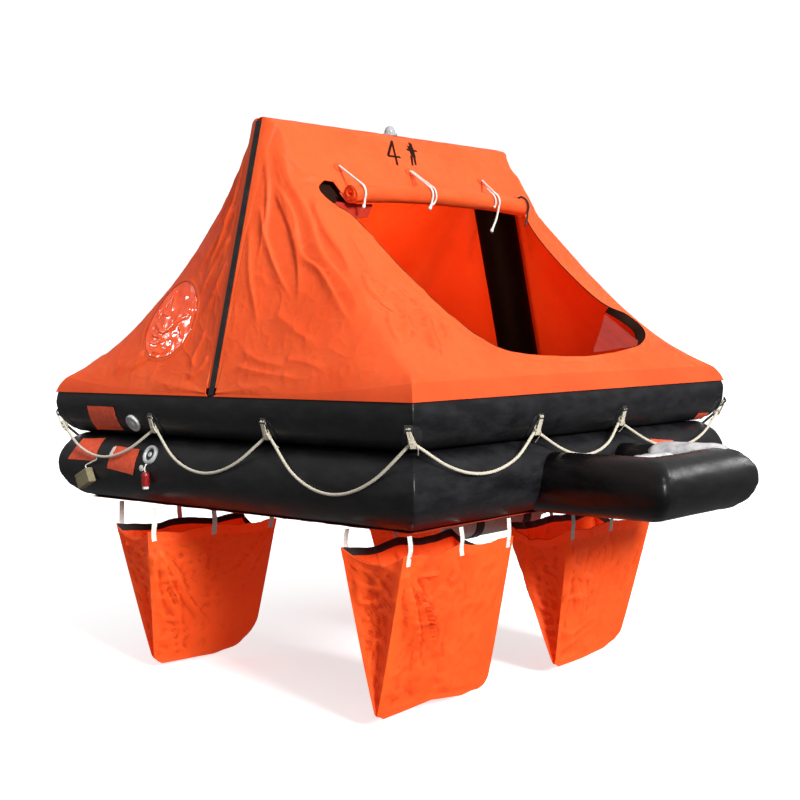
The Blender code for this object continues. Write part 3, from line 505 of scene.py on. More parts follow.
M = {
    "canopy": fabric("canopy_orange", (0.80, 0.106, 0.024), (0.74, 0.080, 0.014), 0.55, glow=0.4, painted_glow=0.10),
    "hem": fabric("hem_orange", (0.74, 0.086, 0.018), (0.62, 0.066, 0.013), 0.55, painted_glow=0.05),
    "bag": fabric("bag_orange", (0.84, 0.098, 0.014), (0.74, 0.074, 0.010), 0.58, glow=0.3, painted_glow=0.20),
    "bag_hem": fabric("bag_hem_orange", (0.80, 0.086, 0.013), (0.66, 0.062, 0.010), 0.58, painted_glow=0.12),
    "shade": fabric("shaded_red", (0.40, 0.020, 0.006), (0.28, 0.012, 0.004), 0.6),
    "floor": fabric("floor_red", (0.42, 0.035, 0.010), (0.32, 0.025, 0.008), 0.6),
    "rubber": rubber("tube_black"),
    "arch": rubber("arch_black", (0.0016, 0.0010, 0.0010), (0.004, 0.003, 0.003), 0.6, 0.05),
    "gloss": rubber("platform_black", (0.0030, 0.0024, 0.0024), (0.009, 0.008, 0.009), 0.30, 0.26),
    "strip": rubber("strip_black", (0.008, 0.008, 0.009), (0.03, 0.03, 0.033), 0.5, 0.35),
    "webbing": yarn("webbing_white", (0.80, 0.78, 0.72), (0.58, 0.55, 0.49)),
    "black_web": yarn("webbing_black", (0.022, 0.020, 0.020), (0.009, 0.008, 0.008), 0.7),
    "rope": yarn("rope_beige", (0.66, 0.60, 0.48), (0.42, 0.37, 0.28)),
    "cord": yarn("cord_white", (0.83, 0.80, 0.74), (0.60, 0.55, 0.48)),
    "grey": plain("valve_grey", (0.50, 0.51, 0.50), (0.38, 0.39, 0.39), 0.42),
    "white": plain("bead_white", (0.72, 0.71, 0.68), (0.60, 0.58, 0.55), 0.45),
    "red": plain("plug_red", (0.34, 0.010, 0.009), (0.22, 0.006, 0.006), 0.35),
    "tan": plain("battery_tan", (0.225, 0.19, 0.105), (0.15, 0.125, 0.065), 0.6, scale=140.0, bump=0.0008),
    "steel": plain("ring_steel", (0.62, 0.62, 0.60), (0.46, 0.46, 0.45), 0.3, 1.0, 90.0, 0.0002),
    "brass": plain("valve_brass", (0.55, 0.42, 0.18), (0.42, 0.31, 0.12), 0.35, 1.0, 90.0, 0.0002),
    "paint": plain("cylinder_grey", (0.56, 0.60, 0.56), (0.44, 0.47, 0.44), 0.38, 0.0, 40.0, 0.0004),
    "lamp": plain("lamp_grey", (0.40, 0.42, 0.43), (0.28, 0.30, 0.31), 0.25),
    # near black: printed marks and the doorway's piping, and painted shade on the dark sheets in the
    # doorway's corner and curled lip
    "print_and_shade": plain("print_and_shade_black", (0.014, 0.005, 0.003), (0.022, 0.007, 0.004), 0.8, scale=300.0,
                   specular=0.08),
    "pad": plain("pad_white", (0.72, 0.71, 0.70), (0.40, 0.40, 0.42), 0.5, scale=22.0, bump=0.003),
    "label": plain("label_orange", (0.86, 0.105, 0.035), (0.64, 0.066, 0.024), 0.5, scale=70.0, bump=0.0006),
    "film": film("window_film"),
    # dark red: stitches, and painted shade on the sheet behind the doorway's curled lip
    "stitch_and_shade": plain("stitch_and_shade_red", (0.30, 0.024, 0.015), (0.22, 0.016, 0.010), 0.5, scale=20.0, specular=0.1),
}


# Canopy: the same half surface as the frame's, made fine and wrinkled

SIDE_COLS, FRONT_COLS, MEMBRANE_ROWS = 7, 13, 12
ARCH_WRAP_ROWS, HEM_WRAP_ROWS = 4, 3
RELAX_STEPS, RELAX_SHARE = 40, 0.42
FOOT_SHARE = 0.03
RIDGE_WRAP, LEG_WRAP = 0.95, 0.30
HEM_LIFT_LEG, HEM_LIFT_CORNER, HEM_LIFT_FRONT = 0.34, 0.90, 0.95
WRAP_R = ARCH_R + SKIN + ARCH_CLEAR


def arch_axis():
    """Corner and foot of the arch tube's centre line."""
    leg = Vector((RIDGE_HALF - HEM_OUT, 0, RIDGE_Z - HEM_Z)).normalized()
    inward = Vector((-leg.z, 0, leg.x))
    on_leg = Vector((RIDGE_HALF, 0, RIDGE_Z)) + inward * WRAP_R
    top_z = RIDGE_Z - WRAP_R
    corner = on_leg + leg * ((top_z - on_leg.z) / leg.z)
    foot = on_leg + leg * ((UPPER_Z - on_leg.z) / leg.z)
    return corner, foot


ARCH_CORNER, ARCH_FOOT = arch_axis()


def over_arch(leg, front, ang):
    """Point of the fabric where it follows the arch tube, ang from the tube's outer line."""
    down = Vector((0, -WRAP_R * math.sin(ang), 0))
    mitre = Vector((RIDGE_HALF, 0, RIDGE_Z)) - ARCH_CORNER
    end = ARCH_CORNER + mitre * math.cos(ang)
    if leg is None:
        share = abs(2 * front - 1)
        side = -1 if front < 0.5 else 1
        return Vector((side * share * end.x, 0, ARCH_CORNER.z + WRAP_R * math.cos(ang))) + down
    side = 1 if front == "right" else -1
    low, high = Vector((HEM_OUT, 0, HEM_Z)), Vector((RIDGE_HALF, 0, RIDGE_Z))
    out = Vector(((high - low).z, 0, (low - high).x)).normalized()
    foot = low - out * WRAP_R * (1 - math.cos(ang))
    p = foot.lerp(end, FOOT_SHARE + (1 - FOOT_SHARE) * leg) + down
    return Vector((side * p.x, p.y, p.z))


def over_tube(leg, front, ang, edge):
    """Point of the fabric where it follows the upper tube, ang above the tube's equator."""
    out, z = HALF + HEM_R * math.cos(ang), UPPER_Z + HEM_R * math.sin(ang)
    if leg is None:
        return Vector((out * (2 * front - 1), -out, z))
    side = 1 if front == "right" else -1
    return Vector((side * out, -edge - (out - edge) * leg, z))


def relaxed(flat):
    grid = flat.copy()
    for _ in range(RELAX_STEPS):
        grid[1:-1, 1:-1] = (grid[:-2, 1:-1] + grid[2:, 1:-1] + grid[1:-1, :-2] + grid[1:-1, 2:]) / 4
    return flat * (1 - RELAX_SHARE) + grid * RELAX_SHARE


def push_off_ring(pts, radius):
    """Moves points inside the square upper tube out to its surface."""
    x, y, z = pts[..., 0], pts[..., 1], pts[..., 2]
    side = np.maximum(np.abs(x), np.abs(y))
    out, up = side - HALF, z - UPPER_Z
    dist = np.maximum(np.hypot(out, up), 1e-6)
    inside = dist < radius
    scale = np.where(inside, (HALF + out * radius / dist) / side, 1.0)
    new = pts.copy()
    new[..., 2] = np.where(inside, UPPER_Z + up * radius / dist, z)
    new[..., 0] = np.where(np.abs(x) > np.abs(y) - 1e-6, x * scale, x)
    new[..., 1] = np.where(np.abs(y) > np.abs(x) - 1e-6, y * scale, y)
    return new


def canopy_columns():
    left = [(i / SIDE_COLS, None) for i in range(SIDE_COLS)]
    middle = [(None, i / FRONT_COLS) for i in range(FRONT_COLS + 1)]
    return left + middle + [(s, "right") for s, _ in reversed(left)]


def canopy_frame_grid():
    """The half surface at the frame's own points, arch to hem by rows, left foot to right by columns."""
    columns = []
    for leg, front in canopy_columns():
        on_ridge = leg is None
        edge = RIDGE_EDGE if on_ridge and 0 < front < 1 else STRIP_EDGE
        start = math.asin(edge / WRAP_R)
        if on_ridge:
            wrap = RIDGE_WRAP
            lift = HEM_LIFT_CORNER + (HEM_LIFT_FRONT - HEM_LIFT_CORNER) * math.sin(math.pi * front)
        else:
            wrap = LEG_WRAP + (RIDGE_WRAP - LEG_WRAP) * leg ** 3
            lift = HEM_LIFT_LEG + (HEM_LIFT_CORNER - HEM_LIFT_LEG) * leg ** 2
        angles = [start + (wrap - start) * i / ARCH_WRAP_ROWS for i in range(ARCH_WRAP_ROWS)]
        col = [over_arch(leg, front, ang) for ang in angles]
        a, b = over_arch(leg, front, wrap), over_tube(leg, front, lift, WRAP_R * math.sin(wrap))
        col += [a.lerp(b, i / MEMBRANE_ROWS) for i in range(MEMBRANE_ROWS + 1)]
        for i in range(1, HEM_WRAP_ROWS + 1):
            share = i / HEM_WRAP_ROWS
            tuck = WRAP_R * math.sin(wrap) * (1 - share) + edge * share
            col.append(over_tube(leg, front, lift + (HEM_ANGLE - lift) * share, tuck))
        columns.append(col)
    grid = np.array(columns).transpose(1, 0, 2)
    first, last = ARCH_WRAP_ROWS, ARCH_WRAP_ROWS + MEMBRANE_ROWS
    membrane = relaxed(grid[first:last + 1])
    membrane[1:-1] = push_off_ring(membrane[1:-1], HEM_R + 0.004)
    grid[first:last + 1] = membrane
    return grid


INNER_STEP = 3                 # the inner side has every third point of the outer one
# points added between the frame's own: in rows (arch wrap, membrane, hem wrap), and in the columns
# of the left panel, the slope and the right panel for each half
ROWS_EACH = (3, 14, 3)
FRONT_EACH, BACK_EACH = (24, 21, 12), (18, 15, 12)
SOFT_CREASE = 16
SKIN_BACK = 0.0012             # the cloth lies this far behind the frame's surface
SHEET_T = 0.0022
CANOPY_SHARP = 75
CLOTH_AREA = (1.85, 2.45)      # of the two cut patterns, less the doorway and the window
FOLD_GAIN = 1.25               # how much deeper than the tables' heights the folds stand
PANEL_EDGE = 0.62              # the side panels begin near this place along the ridge


def fine_grid(grid, left_each, front_each, right_each):
    """The half surface with many more points; its corner creases are softened, but not at the hem."""
    edges = [0, SIDE_COLS, SIDE_COLS + FRONT_COLS, 2 * SIDE_COLS + FRONT_COLS]
    parts = []
    for (a, b), each in zip(zip(edges, edges[1:]), (left_each, front_each, right_each)):
        part = grid[:, a:b + 1].transpose(1, 0, 2)
        fine = spline(part, np.linspace(0, b - a, (b - a) * each + 1)).transpose(1, 0, 2)
        parts.append(fine if a == 0 else fine[:, 1:])
    wide = np.concatenate(parts, axis=1)
    first, last = ARCH_WRAP_ROWS, ARCH_WRAP_ROWS + MEMBRANE_ROWS
    at = np.concatenate([np.linspace(0, first, first * ROWS_EACH[0] + 1),
                         np.linspace(first, last, MEMBRANE_ROWS * ROWS_EACH[1] + 1)[1:],
                         np.linspace(last, len(grid) - 1, HEM_WRAP_ROWS * ROWS_EACH[2] + 1)[1:]])
    fine = spline(wide, at)
    corner = SIDE_COLS * left_each
    corners = (corner, corner + FRONT_COLS * front_each)
    high = smoothstep(at, 3.5, 7.0) * (1 - smoothstep(at, last - 3.0, last + 0.5))
    for c in corners:
        span = slice(c - SOFT_CREASE, c + SOFT_CREASE + 1)
        for _ in range(60):
            band = fine[:, span]
            mean = (band[:, :-2] + band[:, 2:]) / 2
            share = high[:, None, None] * 0.5
            band[:, 1:-1] = band[:, 1:-1] * (1 - share) + mean * share
    return fine, at


def curve_distance(p, points):
    """Signed distance of 2-D points from a smooth curve, and the share of its length passed."""
    line = smooth(points, 8)
    step = np.diff(line, axis=0)
    run = lengths(line)
    best = np.full(len(p), 9.0)
    signed, share = np.zeros(len(p)), np.zeros(len(p))
    for i, s in enumerate(step):
        rel = p - line[i]
        t = np.clip(rel @ s / (s @ s), 0, 1)
        off = rel - t[:, None] * s
        d = np.linalg.norm(off, axis=1)
        near = d < best
        best = np.where(near, d, best)
        signed = np.where(near, np.sign(s[0] * rel[:, 1] - s[1] * rel[:, 0]) * d, signed)
        share = np.where(near, (run[i] + t * (run[i + 1] - run[i])) / run[-1], share)
    return signed, share


def fold(p, points, width, height, skew=0.0, fade=(0.12, 0.35)):
    """Height of one fold: a crest along a curve, steeper on one side, that fades at both ends."""
    d, share = curve_distance(p, points)
    side = np.where(d > 0, width * (1 + skew), width * (1 - skew))
    end = smoothstep(share, 0, fade[0]) * (1 - smoothstep(share, 1 - fade[1], 1.0))
    return height * np.exp(-np.abs(d / side) ** 1.5) * end


def folds(p, table):
    """The heights of a table's folds, added up; its rows are (points, width, height, skew)."""
    return sum(fold(p, points, *rest) for points, *rest in table)


def fans(rng, table):
    """Rows of folds that radiate from points, for a table of fans."""
    rows = []
    for origin, angles, count, reach, width, height in table:
        for _ in range(count):
            a = math.radians(rng.uniform(*angles))
            start, end = rng.uniform(0.03, 0.12), rng.uniform(*reach)
            d = np.array([math.cos(a), math.sin(a)])
            n = np.array([-d[1], d[0]])
            bend = rng.uniform(-0.06, 0.06) * end
            pts = [d * start, d * (start + end) / 2 + n * bend, d * end] + np.array(origin)
            wide, high = width * rng.uniform(0.6, 1.4), height * rng.uniform(0.4, 1.0)
            rows.append((pts, wide, high, rng.uniform(-0.5, 0.5)))
    return rows


# folds of the left panel, front half: points are (y, z), then crest width, height and skew
LEFT_FRONT = (
    (((-0.09, 1.20), (-0.13, 1.07), (-0.24, 0.93), (-0.33, 0.80), (-0.47, 0.68), (-0.58, 0.55)),
     0.017, 0.012, 0.5),
    (((-0.09, 1.05), (-0.19, 0.93), (-0.26, 0.80), (-0.35, 0.74), (-0.48, 0.61), (-0.56, 0.55)),
     0.012, 0.009, 0.4),
    (((-0.06, 0.98), (-0.11, 0.86), (-0.19, 0.74), (-0.27, 0.65)), 0.011, 0.008, 0.4),
    (((-0.10, 1.02), (-0.22, 0.84), (-0.27, 0.72), (-0.29, 0.62)), 0.010, 0.006, -0.4),
    (((-0.04, 0.90), (-0.07, 0.76), (-0.12, 0.64), (-0.16, 0.55)), 0.012, 0.006, 0.3),
    (((-0.14, 1.10), (-0.24, 1.00), (-0.36, 0.84), (-0.44, 0.75)), 0.012, 0.007, -0.4),
    (((-0.20, 0.62), (-0.34, 0.55), (-0.46, 0.50)), 0.022, 0.004, 0.2),
    (((-0.10, 0.50), (-0.22, 0.46), (-0.36, 0.45)), 0.014, 0.004, 0.0),
    (((-0.08, 0.45), (-0.24, 0.425), (-0.44, 0.41)), 0.012, 0.004, 0.2),
    (((-0.30, 0.47), (-0.42, 0.455), (-0.52, 0.42)), 0.012, 0.003, -0.3),
    (((-0.80, 0.42), (-0.76, 0.40), (-0.70, 0.40)), 0.014, 0.006, 0.2),
)
# folds of the front slope: points are (x, distance down the slope)
FRONT_SLOPE = (
    (((-0.62, 0.36), (-0.645, 0.50), (-0.655, 0.62), (-0.68, 0.72)), 0.016, 0.012, -0.5),
    (((-0.585, 0.52), (-0.61, 0.66), (-0.60, 0.73), (-0.575, 0.78), (-0.56, 0.84), (-0.58, 0.88)),
     0.010, 0.009, 0.5),
    (((-0.63, 0.70), (-0.66, 0.77), (-0.655, 0.84), (-0.62, 0.90)), 0.009, 0.007, -0.5),
    (((-0.52, 0.90), (-0.56, 0.98), (-0.60, 1.06), (-0.66, 1.10)), 0.010, 0.008, 0.4),
    (((-0.60, 0.86), (-0.63, 0.95), (-0.70, 1.02)), 0.008, 0.006, 0.3),
    (((-0.66, 0.88), (-0.70, 0.95), (-0.74, 1.06)), 0.009, 0.006, -0.4),
    (((-0.55, 0.80), (-0.52, 0.86), (-0.53, 0.92)), 0.007, 0.005, 0.3),
    (((-0.49, 0.94), (-0.50, 1.00), (-0.54, 1.05)), 0.007, 0.005, -0.3),
    (((-0.58, 1.00), (-0.61, 1.06), (-0.62, 1.12)), 0.007, 0.005, 0.3),
    (((-0.72, 0.80), (-0.76, 0.90), (-0.80, 1.02)), 0.013, 0.006, 0.4),
    (((-0.84, 1.20), (-0.80, 1.17), (-0.75, 1.18)), 0.012, 0.007, 0.2),
    (((0.56, 0.34), (0.62, 0.52), (0.69, 0.74), (0.76, 0.96)), 0.020, 0.005, 0.3),
    (((0.50, 1.14), (0.62, 1.11), (0.74, 1.13)), 0.016, 0.004, 0.2),
    (((-0.30, 1.17), (-0.05, 1.185), (0.25, 1.18)), 0.02, 0.003, 0.2),
)
# folds of the left panel, back half: (distance back, z)
LEFT_BACK = (
    (((0.05, 0.98), (0.16, 0.86), (0.26, 0.74)), 0.014, 0.007, 0.4),
    (((0.05, 0.88), (0.14, 0.76), (0.20, 0.66)), 0.012, 0.006, 0.4),
    (((0.05, 0.80), (0.10, 0.68), (0.15, 0.60)), 0.012, 0.005, -0.3),
    (((0.09, 1.10), (0.20, 0.98), (0.34, 0.84)), 0.018, 0.006, 0.3),
    (((0.33, 0.50), (0.42, 0.455), (0.52, 0.41)), 0.012, 0.007, 0.4),
    (((0.42, 0.50), (0.49, 0.46), (0.58, 0.41)), 0.012, 0.006, -0.3),
    (((0.05, 0.48), (0.09, 0.43), (0.16, 0.40)), 0.012, 0.006, 0.3),
    (((0.10, 0.56), (0.13, 0.48), (0.12, 0.42)), 0.014, 0.004, 0.3),
)
# fans of small folds: origin, range of angles, how many, range of lengths, crest width and height
LEFT_FANS = (((-0.02, 1.25), (-128, -98), 8, (0.30, 0.62), 0.011, 0.005),)
RIGHT_FANS = (
    ((-0.02, 1.25), (-135, -97), 14, (0.30, 0.80), 0.014, 0.008),
    ((-0.86, 0.37), (100, 175), 6, (0.15, 0.35), 0.013, 0.005),
)
FRONT_FANS = (
    ((-0.50, 0.34), (175, 260), 5, (0.06, 0.2), 0.010, 0.004),
    ((0.50, 0.34), (-60, 30), 4, (0.08, 0.2), 0.010, 0.004),
)
BACK_FANS = (
    ((-0.60, 0.06), (35, 85), 8, (0.35, 0.85), 0.015, 0.008),
    ((0.60, 0.06), (95, 145), 8, (0.35, 0.85), 0.015, 0.008),
    ((-0.84, 1.24), (-70, -15), 5, (0.15, 0.4), 0.013, 0.005),
    ((0.84, 1.24), (-165, -110), 5, (0.15, 0.4), 0.013, 0.005),
)


def crumple(p3, size, seed):
    """A net of small soft creases, from 0 to 1."""
    warp = np.stack([noise(p3, size * 1.7, seed + k) for k in range(3)], -1) * size * 0.8
    a = 1 - np.abs(noise(p3 + warp, size, seed + 7))
    b = 1 - np.abs(noise(p3 - warp, size * 0.6, seed + 11))
    return a ** 5 * 0.65 + b ** 6 * 0.35


def slope_place(p):
    """Place along the ridge and distance down the flat front slope."""
    down = unit(np.array([0, -HEM_OUT, HEM_Z - RIDGE_Z]))
    return np.stack([p[..., 0], (p - np.array([0, 0, RIDGE_Z])) @ down], -1)


def canopy_relief(fine, at, front):
    """How far each point stands out of the relaxed surface: folds, fans, creases and soft billows."""
    rows, cols = fine.shape[:2]
    p = fine.reshape(-1, 3)
    side = np.stack([p[:, 1], p[:, 2]], -1)
    slope = slope_place(p)
    rng = np.random.default_rng(11 if front else 23)
    fall = PANEL_EDGE * (RIDGE_Z - p[:, 2]) / (RIDGE_Z - HEM_Z)
    on_left, on_right = (smoothstep(way * p[:, 0] - np.abs(p[:, 1]) + fall - PANEL_EDGE, -0.12, 0.12)
                         for way in (-1, 1))
    on_panels = np.maximum(on_left, on_right)
    on_front = 1 - on_panels
    if front:
        left_rows, slope_rows, slope_fans = list(LEFT_FRONT), list(FRONT_SLOPE), FRONT_FANS
    else:
        left_rows = [([(-y, z) for y, z in pts], w, h, -k) for pts, w, h, k in LEFT_BACK]
        slope_rows, slope_fans = [], BACK_FANS
    left_rows += fans(rng, LEFT_FANS)
    right_rows = fans(rng, RIGHT_FANS)
    slope_rows += fans(rng, slope_fans)
    relief = np.zeros(len(p))
    for mask, coords, table in ((on_left, side, left_rows), (on_right, side, right_rows),
                                (on_front, slope, slope_rows)):
        pick = mask > 0.01
        relief[pick] += folds(coords[pick], table) * mask[pick] * FOLD_GAIN
    net = crumple(p, 0.055, 5)
    if front:
        lively = np.exp(-((slope[:, 0] + 0.60) / 0.13) ** 2 - ((slope[:, 1] - 0.93) / 0.20) ** 2)
        doorway = smoothstep(slope[:, 0], -0.9, -0.55) * on_front
        relief += 0.0075 * lively * net * np.maximum(doorway, 0.3)
    relief += 0.0018 * net * on_panels
    relief += 0.0008 * net
    billow = noise(p, 0.21, 3) * 0.0055 + noise(p, 0.09, 4) * 0.0018
    relief += billow * (0.35 + 0.65 * on_panels)
    last = ARCH_WRAP_ROWS + MEMBRANE_ROWS
    hold = smoothstep(at, 1.0, 6.0) * (1 - smoothstep(at, last - 1.2, last + 0.8))
    edge = np.minimum(np.arange(cols), np.arange(cols)[::-1])
    hold = hold[:, None] * smoothstep(edge, 0, 26)[None]
    return relief.reshape(rows, cols) * hold


def least_near(values, step):
    """The least value around every step-th point, so that a coarse inner skin stays inside."""
    pad = np.pad(values, step, mode="edge")
    rows, cols = values.shape
    best = np.full(values.shape, 9.0)
    for i in range(2 * step + 1):
        for j in range(2 * step + 1):
            best = np.minimum(best, pad[i:i + rows, j:j + cols])
    return best[::step, ::step]


# doorway outline on the front slope: place along the ridge and distance down the slope
DOORWAY = [(-0.535, 0.292), (-0.572, 0.32), (-0.574, 0.355), (-0.552, 0.405), (-0.508, 0.48), (-0.475, 0.70),
           (-0.446, 0.84), (-0.42, 0.94), (-0.37, 1.03), (-0.31, 1.085), (-0.2, 1.115), (-0.02, 1.13),
           (0.16, 1.13), (0.34, 1.112), (0.48, 1.085), (0.58, 1.04), (0.635, 0.975), (0.61, 0.915),
           (0.53, 0.875), (0.48, 0.80), (0.452, 0.70), (0.435, 0.55), (0.45, 0.43), (0.53, 0.285)]
DOORWAY_LIP = [(0.49, 0.285), (0.435, 0.396), (-0.49, 0.396), (-0.50, 0.30)]
WINDOW_AT = Vector((-0.783, 0.327, 0.609))
WINDOW_OUT = Vector((-0.945, 0.09, 0.31)).normalized()
WINDOW_R = 0.135
SLOPE_DOWN = Vector((0, -HEM_OUT, HEM_Z - RIDGE_Z)).normalized()
SLOPE_OUT = Vector((1, 0, 0)).cross(SLOPE_DOWN) * -1


def on_slope(x, s, out=0.0):
    return Vector((x, 0, RIDGE_Z)) + SLOPE_DOWN * s + SLOPE_OUT * out


def prism(name, points, way, reach=0.12):
    """A cutter through the cloth: an outline made thick along a direction."""
    n = len(points)
    out = np.array(way) * reach
    verts = np.concatenate([points - out, points + out])
    faces = [list(range(n)), list(range(n, 2 * n))[::-1]]
    faces += [[i, n + i, n + (i + 1) % n, (i + 1) % n] for i in range(n)]
    return solid(name, verts, faces, M["print_and_shade"])


def reader(grid, step=2):
    """A tree of a surface's faces, for placing things on it."""
    g = grid[::step, ::step]
    faces = quads(*g.shape[:2])
    return BVHTree.FromPolygons(g.reshape(-1, 3).tolist(), faces.tolist())


def skin_tree(*names):
    """A tree of the faces of finished pieces."""
    verts, faces = [], []
    for name in names:
        mesh = bpy.data.objects[name].data
        faces += [[len(verts) + i for i in p.vertices] for p in mesh.polygons]
        verts += [v.co.copy() for v in mesh.vertices]
    return BVHTree.FromPolygons(verts, faces)


def canopy_half(front):
    """One half of the canopy as a closed cloth, and its outer grid."""
    fine, at = fine_grid(canopy_frame_grid(), *(FRONT_EACH if front else BACK_EACH))
    step = INNER_STEP
    if (fine.shape[0] - 1) % step or (fine.shape[1] - 1) % step:
        raise ValueError(f"grid {fine.shape} isn't whole steps of {step}")
    normal = grid_normals(fine)
    if (normal[60, 200] @ np.array([0, -1.0, 0.5])) < 0:
        normal = -normal
    relief = canopy_relief(fine, at, front)
    outer = fine - normal * SKIN_BACK + normal * relief[..., None]
    inner = (fine - normal * (SKIN_BACK + SHEET_T))[::step, ::step]
    inner = inner + normal[::step, ::step] * least_near(relief, step)[..., None]
    if not front:
        outer = outer * np.array([1, -1, 1])
        inner = inner * np.array([1, -1, 1])
    name = "canopy_cloth_front" if front else "canopy_cloth_back"
    half = shell(name, outer, inner, M["canopy"], sharp=CANOPY_SHARP)
    return half, outer


front_cloth, front_grid = canopy_half(True)
back_cloth, back_grid = canopy_half(False)
doorway_line = np.array([on_slope(x, s) for x, s in [*smooth(DOORWAY, 8), *DOORWAY_LIP]])
window_turn = np.array(Vector((0, 0, 1)).rotation_difference(WINDOW_OUT).to_matrix())
window_line = np.pad(circle(WINDOW_R, 96), ((0, 0), (0, 1))) @ window_turn.T + np.array(WINDOW_AT)
cut(front_cloth, prism("doorway_space", doorway_line, SLOPE_OUT))
cut(back_cloth, prism("window_space", window_line, WINDOW_OUT))
for cloth, cad_node, area in zip((front_cloth, back_cloth), ("canopy_front", "canopy_back"), CLOTH_AREA):
    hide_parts(cad_node)
    cloth.data.shade_smooth()
    cloth.data.set_sharp_from_angle(angle=math.radians(CANOPY_SHARP))
front_tree = reader(front_grid)
back_tree = reader(back_grid)


# Tubes, arch and platform: sections swept along flat paths with true mitres, as the frame's

PLATFORM_R = 0.0975
PLATFORM_Z = TUBE_BOTTOM + PLATFORM_R
PLATFORM_X = (-0.18, 0.22)
PLATFORM_Y, PLATFORM_ROOT_Y = -1.223, -0.80
TAPE_HALF, TAPE_T = 0.018, 0.0009


def ring_section(radius, sides, flat=None, on_top=True):
    """A round section from the outer side upward; flat is the height at which it is cut."""
    a = steps_round(sides)
    r = np.full(sides, radius)
    if flat is not None:
        up = np.sin(a) * (1 if on_top else -1)
        limit = flat / np.maximum(up, 1e-3)
        r = (radius ** -26.0 + limit ** -26.0) ** (-1 / 26.0)
    return polar(r, a)


def mitred_grid(path, section, normal, closed, stations):
    """Rings along a path, closer near its corners: points, centres, way to the next corner, its number."""
    path, normal = np.asarray(path, float), np.asarray(normal, float)
    n = len(path)
    rings = []
    for i, point in enumerate(path):
        sides = []
        if closed or i > 0:
            sides.append(np.cross(normal, unit(point - path[i - 1])))
        if closed or i < n - 1:
            sides.append(np.cross(normal, unit(path[(i + 1) % n] - point)))
        out = unit(sum(sides))
        rings.append(point + section[:, :1] * out / (out @ sides[0]) + section[:, 1:] * normal)
    grid, centre, off, corner = [], [], [], []
    last = n if closed else n - 1
    for i in range(last):
        k = (i + 1) % n
        share = 0.5 - 0.5 * np.cos(np.linspace(0, math.pi, stations + 1))
        if closed or i < last - 1:
            share = share[:-1]
        run = np.linalg.norm(rings[k] - rings[i], axis=1)
        for s in share:
            grid.append(rings[i] * (1 - s) + rings[k] * s)
            centre.append(path[i] * (1 - s) + path[k] * s)
            back = run * s if closed or i > 0 else run * 0 + 9.0
            ahead = run * (1 - s) if closed or i < last - 1 else run * 0 + 9.0
            off.append(np.minimum(back, ahead))
            corner.append(np.full(len(run), float(i if s < 0.5 else k)))
    return np.array(grid), np.array(centre), np.array(off), np.array(corner)


def tube_relief(grid, off, corner, radius, seed, pucker=0.0017):
    """Soft unevenness of a blown-up tube, with puckers and a seam tape at its mitres."""
    girth = steps_round(grid.shape[1]) * radius
    place = np.stack([off, np.broadcast_to(girth, off.shape), corner * 3.0], -1)
    relief = 0.0010 * noise(grid, 0.17, seed) + 0.0004 * noise(grid, 0.04, seed + 1)
    relief += pucker * noise(place, (0.10, 0.014, 1.0), seed + 2) * np.exp(-(off / 0.06) ** 2)
    relief += TAPE_T * (1 - smoothstep(off * 0.707, TAPE_HALF, TAPE_HALF + 0.0015))
    return relief


def softened(grid, off, closed, steps=45, reach=0.05):
    """Rounds the mitres of a grid a little by averaging along the path."""
    weight = 0.5 * (1 - smoothstep(off, reach * 0.5, reach))[..., None]
    for _ in range(steps):
        mean = (np.roll(grid, 1, 0) + np.roll(grid, -1, 0)) / 2
        if not closed:
            mean[0], mean[-1] = grid[0], grid[-1]
        grid = grid * (1 - weight) + mean * weight
    return grid


def mitred_tube(name, path, section, normal, closed, stations, radius, look, seed, soft):
    grid, centre, off, corner = mitred_grid(path, section, normal, closed, stations)
    grid = softened(grid, off, closed, soft)
    out = unit(grid - centre[:, None])
    grid = grid + out * tube_relief(grid, off, corner, radius, seed)[..., None]
    return grid_solid(name, grid, closed, M[look])


def square_path(half, z):
    return [(-half, -half, z), (half, -half, z), (half, half, z), (-half, half, z)]


def core(z, on_top):
    """A plain ring just inside a tube's skin, to end what runs into the tube."""
    section = ring_section(TUBE_R - 0.002, 48, TUBE_FLAT, on_top)
    grid, _, _, _ = mitred_grid(square_path(HALF, z), section, (0, 0, 1), True, 2)
    return grid_solid("core", grid, True, M["rubber"])


def tubes():
    """The two square rings, the arch's tube and the platform's tube."""
    for level, z, on_top, seed in (("lower", LOWER_Z, True, 41), ("upper", UPPER_Z, False, 47)):
        section = ring_section(TUBE_R, 84, TUBE_FLAT, on_top)
        ring = mitred_tube(f"buoyancy_tube_{level}", square_path(HALF, z), section,
                           (0, 0, 1), True, 50, TUBE_R,
                           "rubber", seed, soft=4)
        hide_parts(f"{level}_tube")
    c, f = ARCH_CORNER, ARCH_FOOT
    path = [(-f.x, 0, f.z), (-c.x, 0, c.z), (c.x, 0, c.z), (f.x, 0, f.z)]
    arch = mitred_tube("arch_tube", path, ring_section(ARCH_R - 0.002, 64), (0, 1, 0), False, 40, ARCH_R,
                       "arch", 53, soft=60)
    cut(arch, core(UPPER_Z, False))
    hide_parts("canopy_arch")
    x0, x1 = PLATFORM_X
    path = [(x0, PLATFORM_ROOT_Y, PLATFORM_Z), (x0, PLATFORM_Y, PLATFORM_Z),
            (x1, PLATFORM_Y, PLATFORM_Z), (x1, PLATFORM_ROOT_Y, PLATFORM_Z)]
    arms = mitred_tube("boarding_tube", path, ring_section(PLATFORM_R, 80), (0, 0, 1), False, 46, PLATFORM_R,
                       "gloss", 59, soft=70)
    cut(arms, core(LOWER_Z, True))
    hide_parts("platform_tube")


def flat_grid(x0, x1, y0, y1, z, cols, rows):
    x, y = np.meshgrid(np.linspace(x0, x1, cols), np.linspace(y0, y1, rows))
    return np.stack([x, y, np.full_like(x, z)], -1)


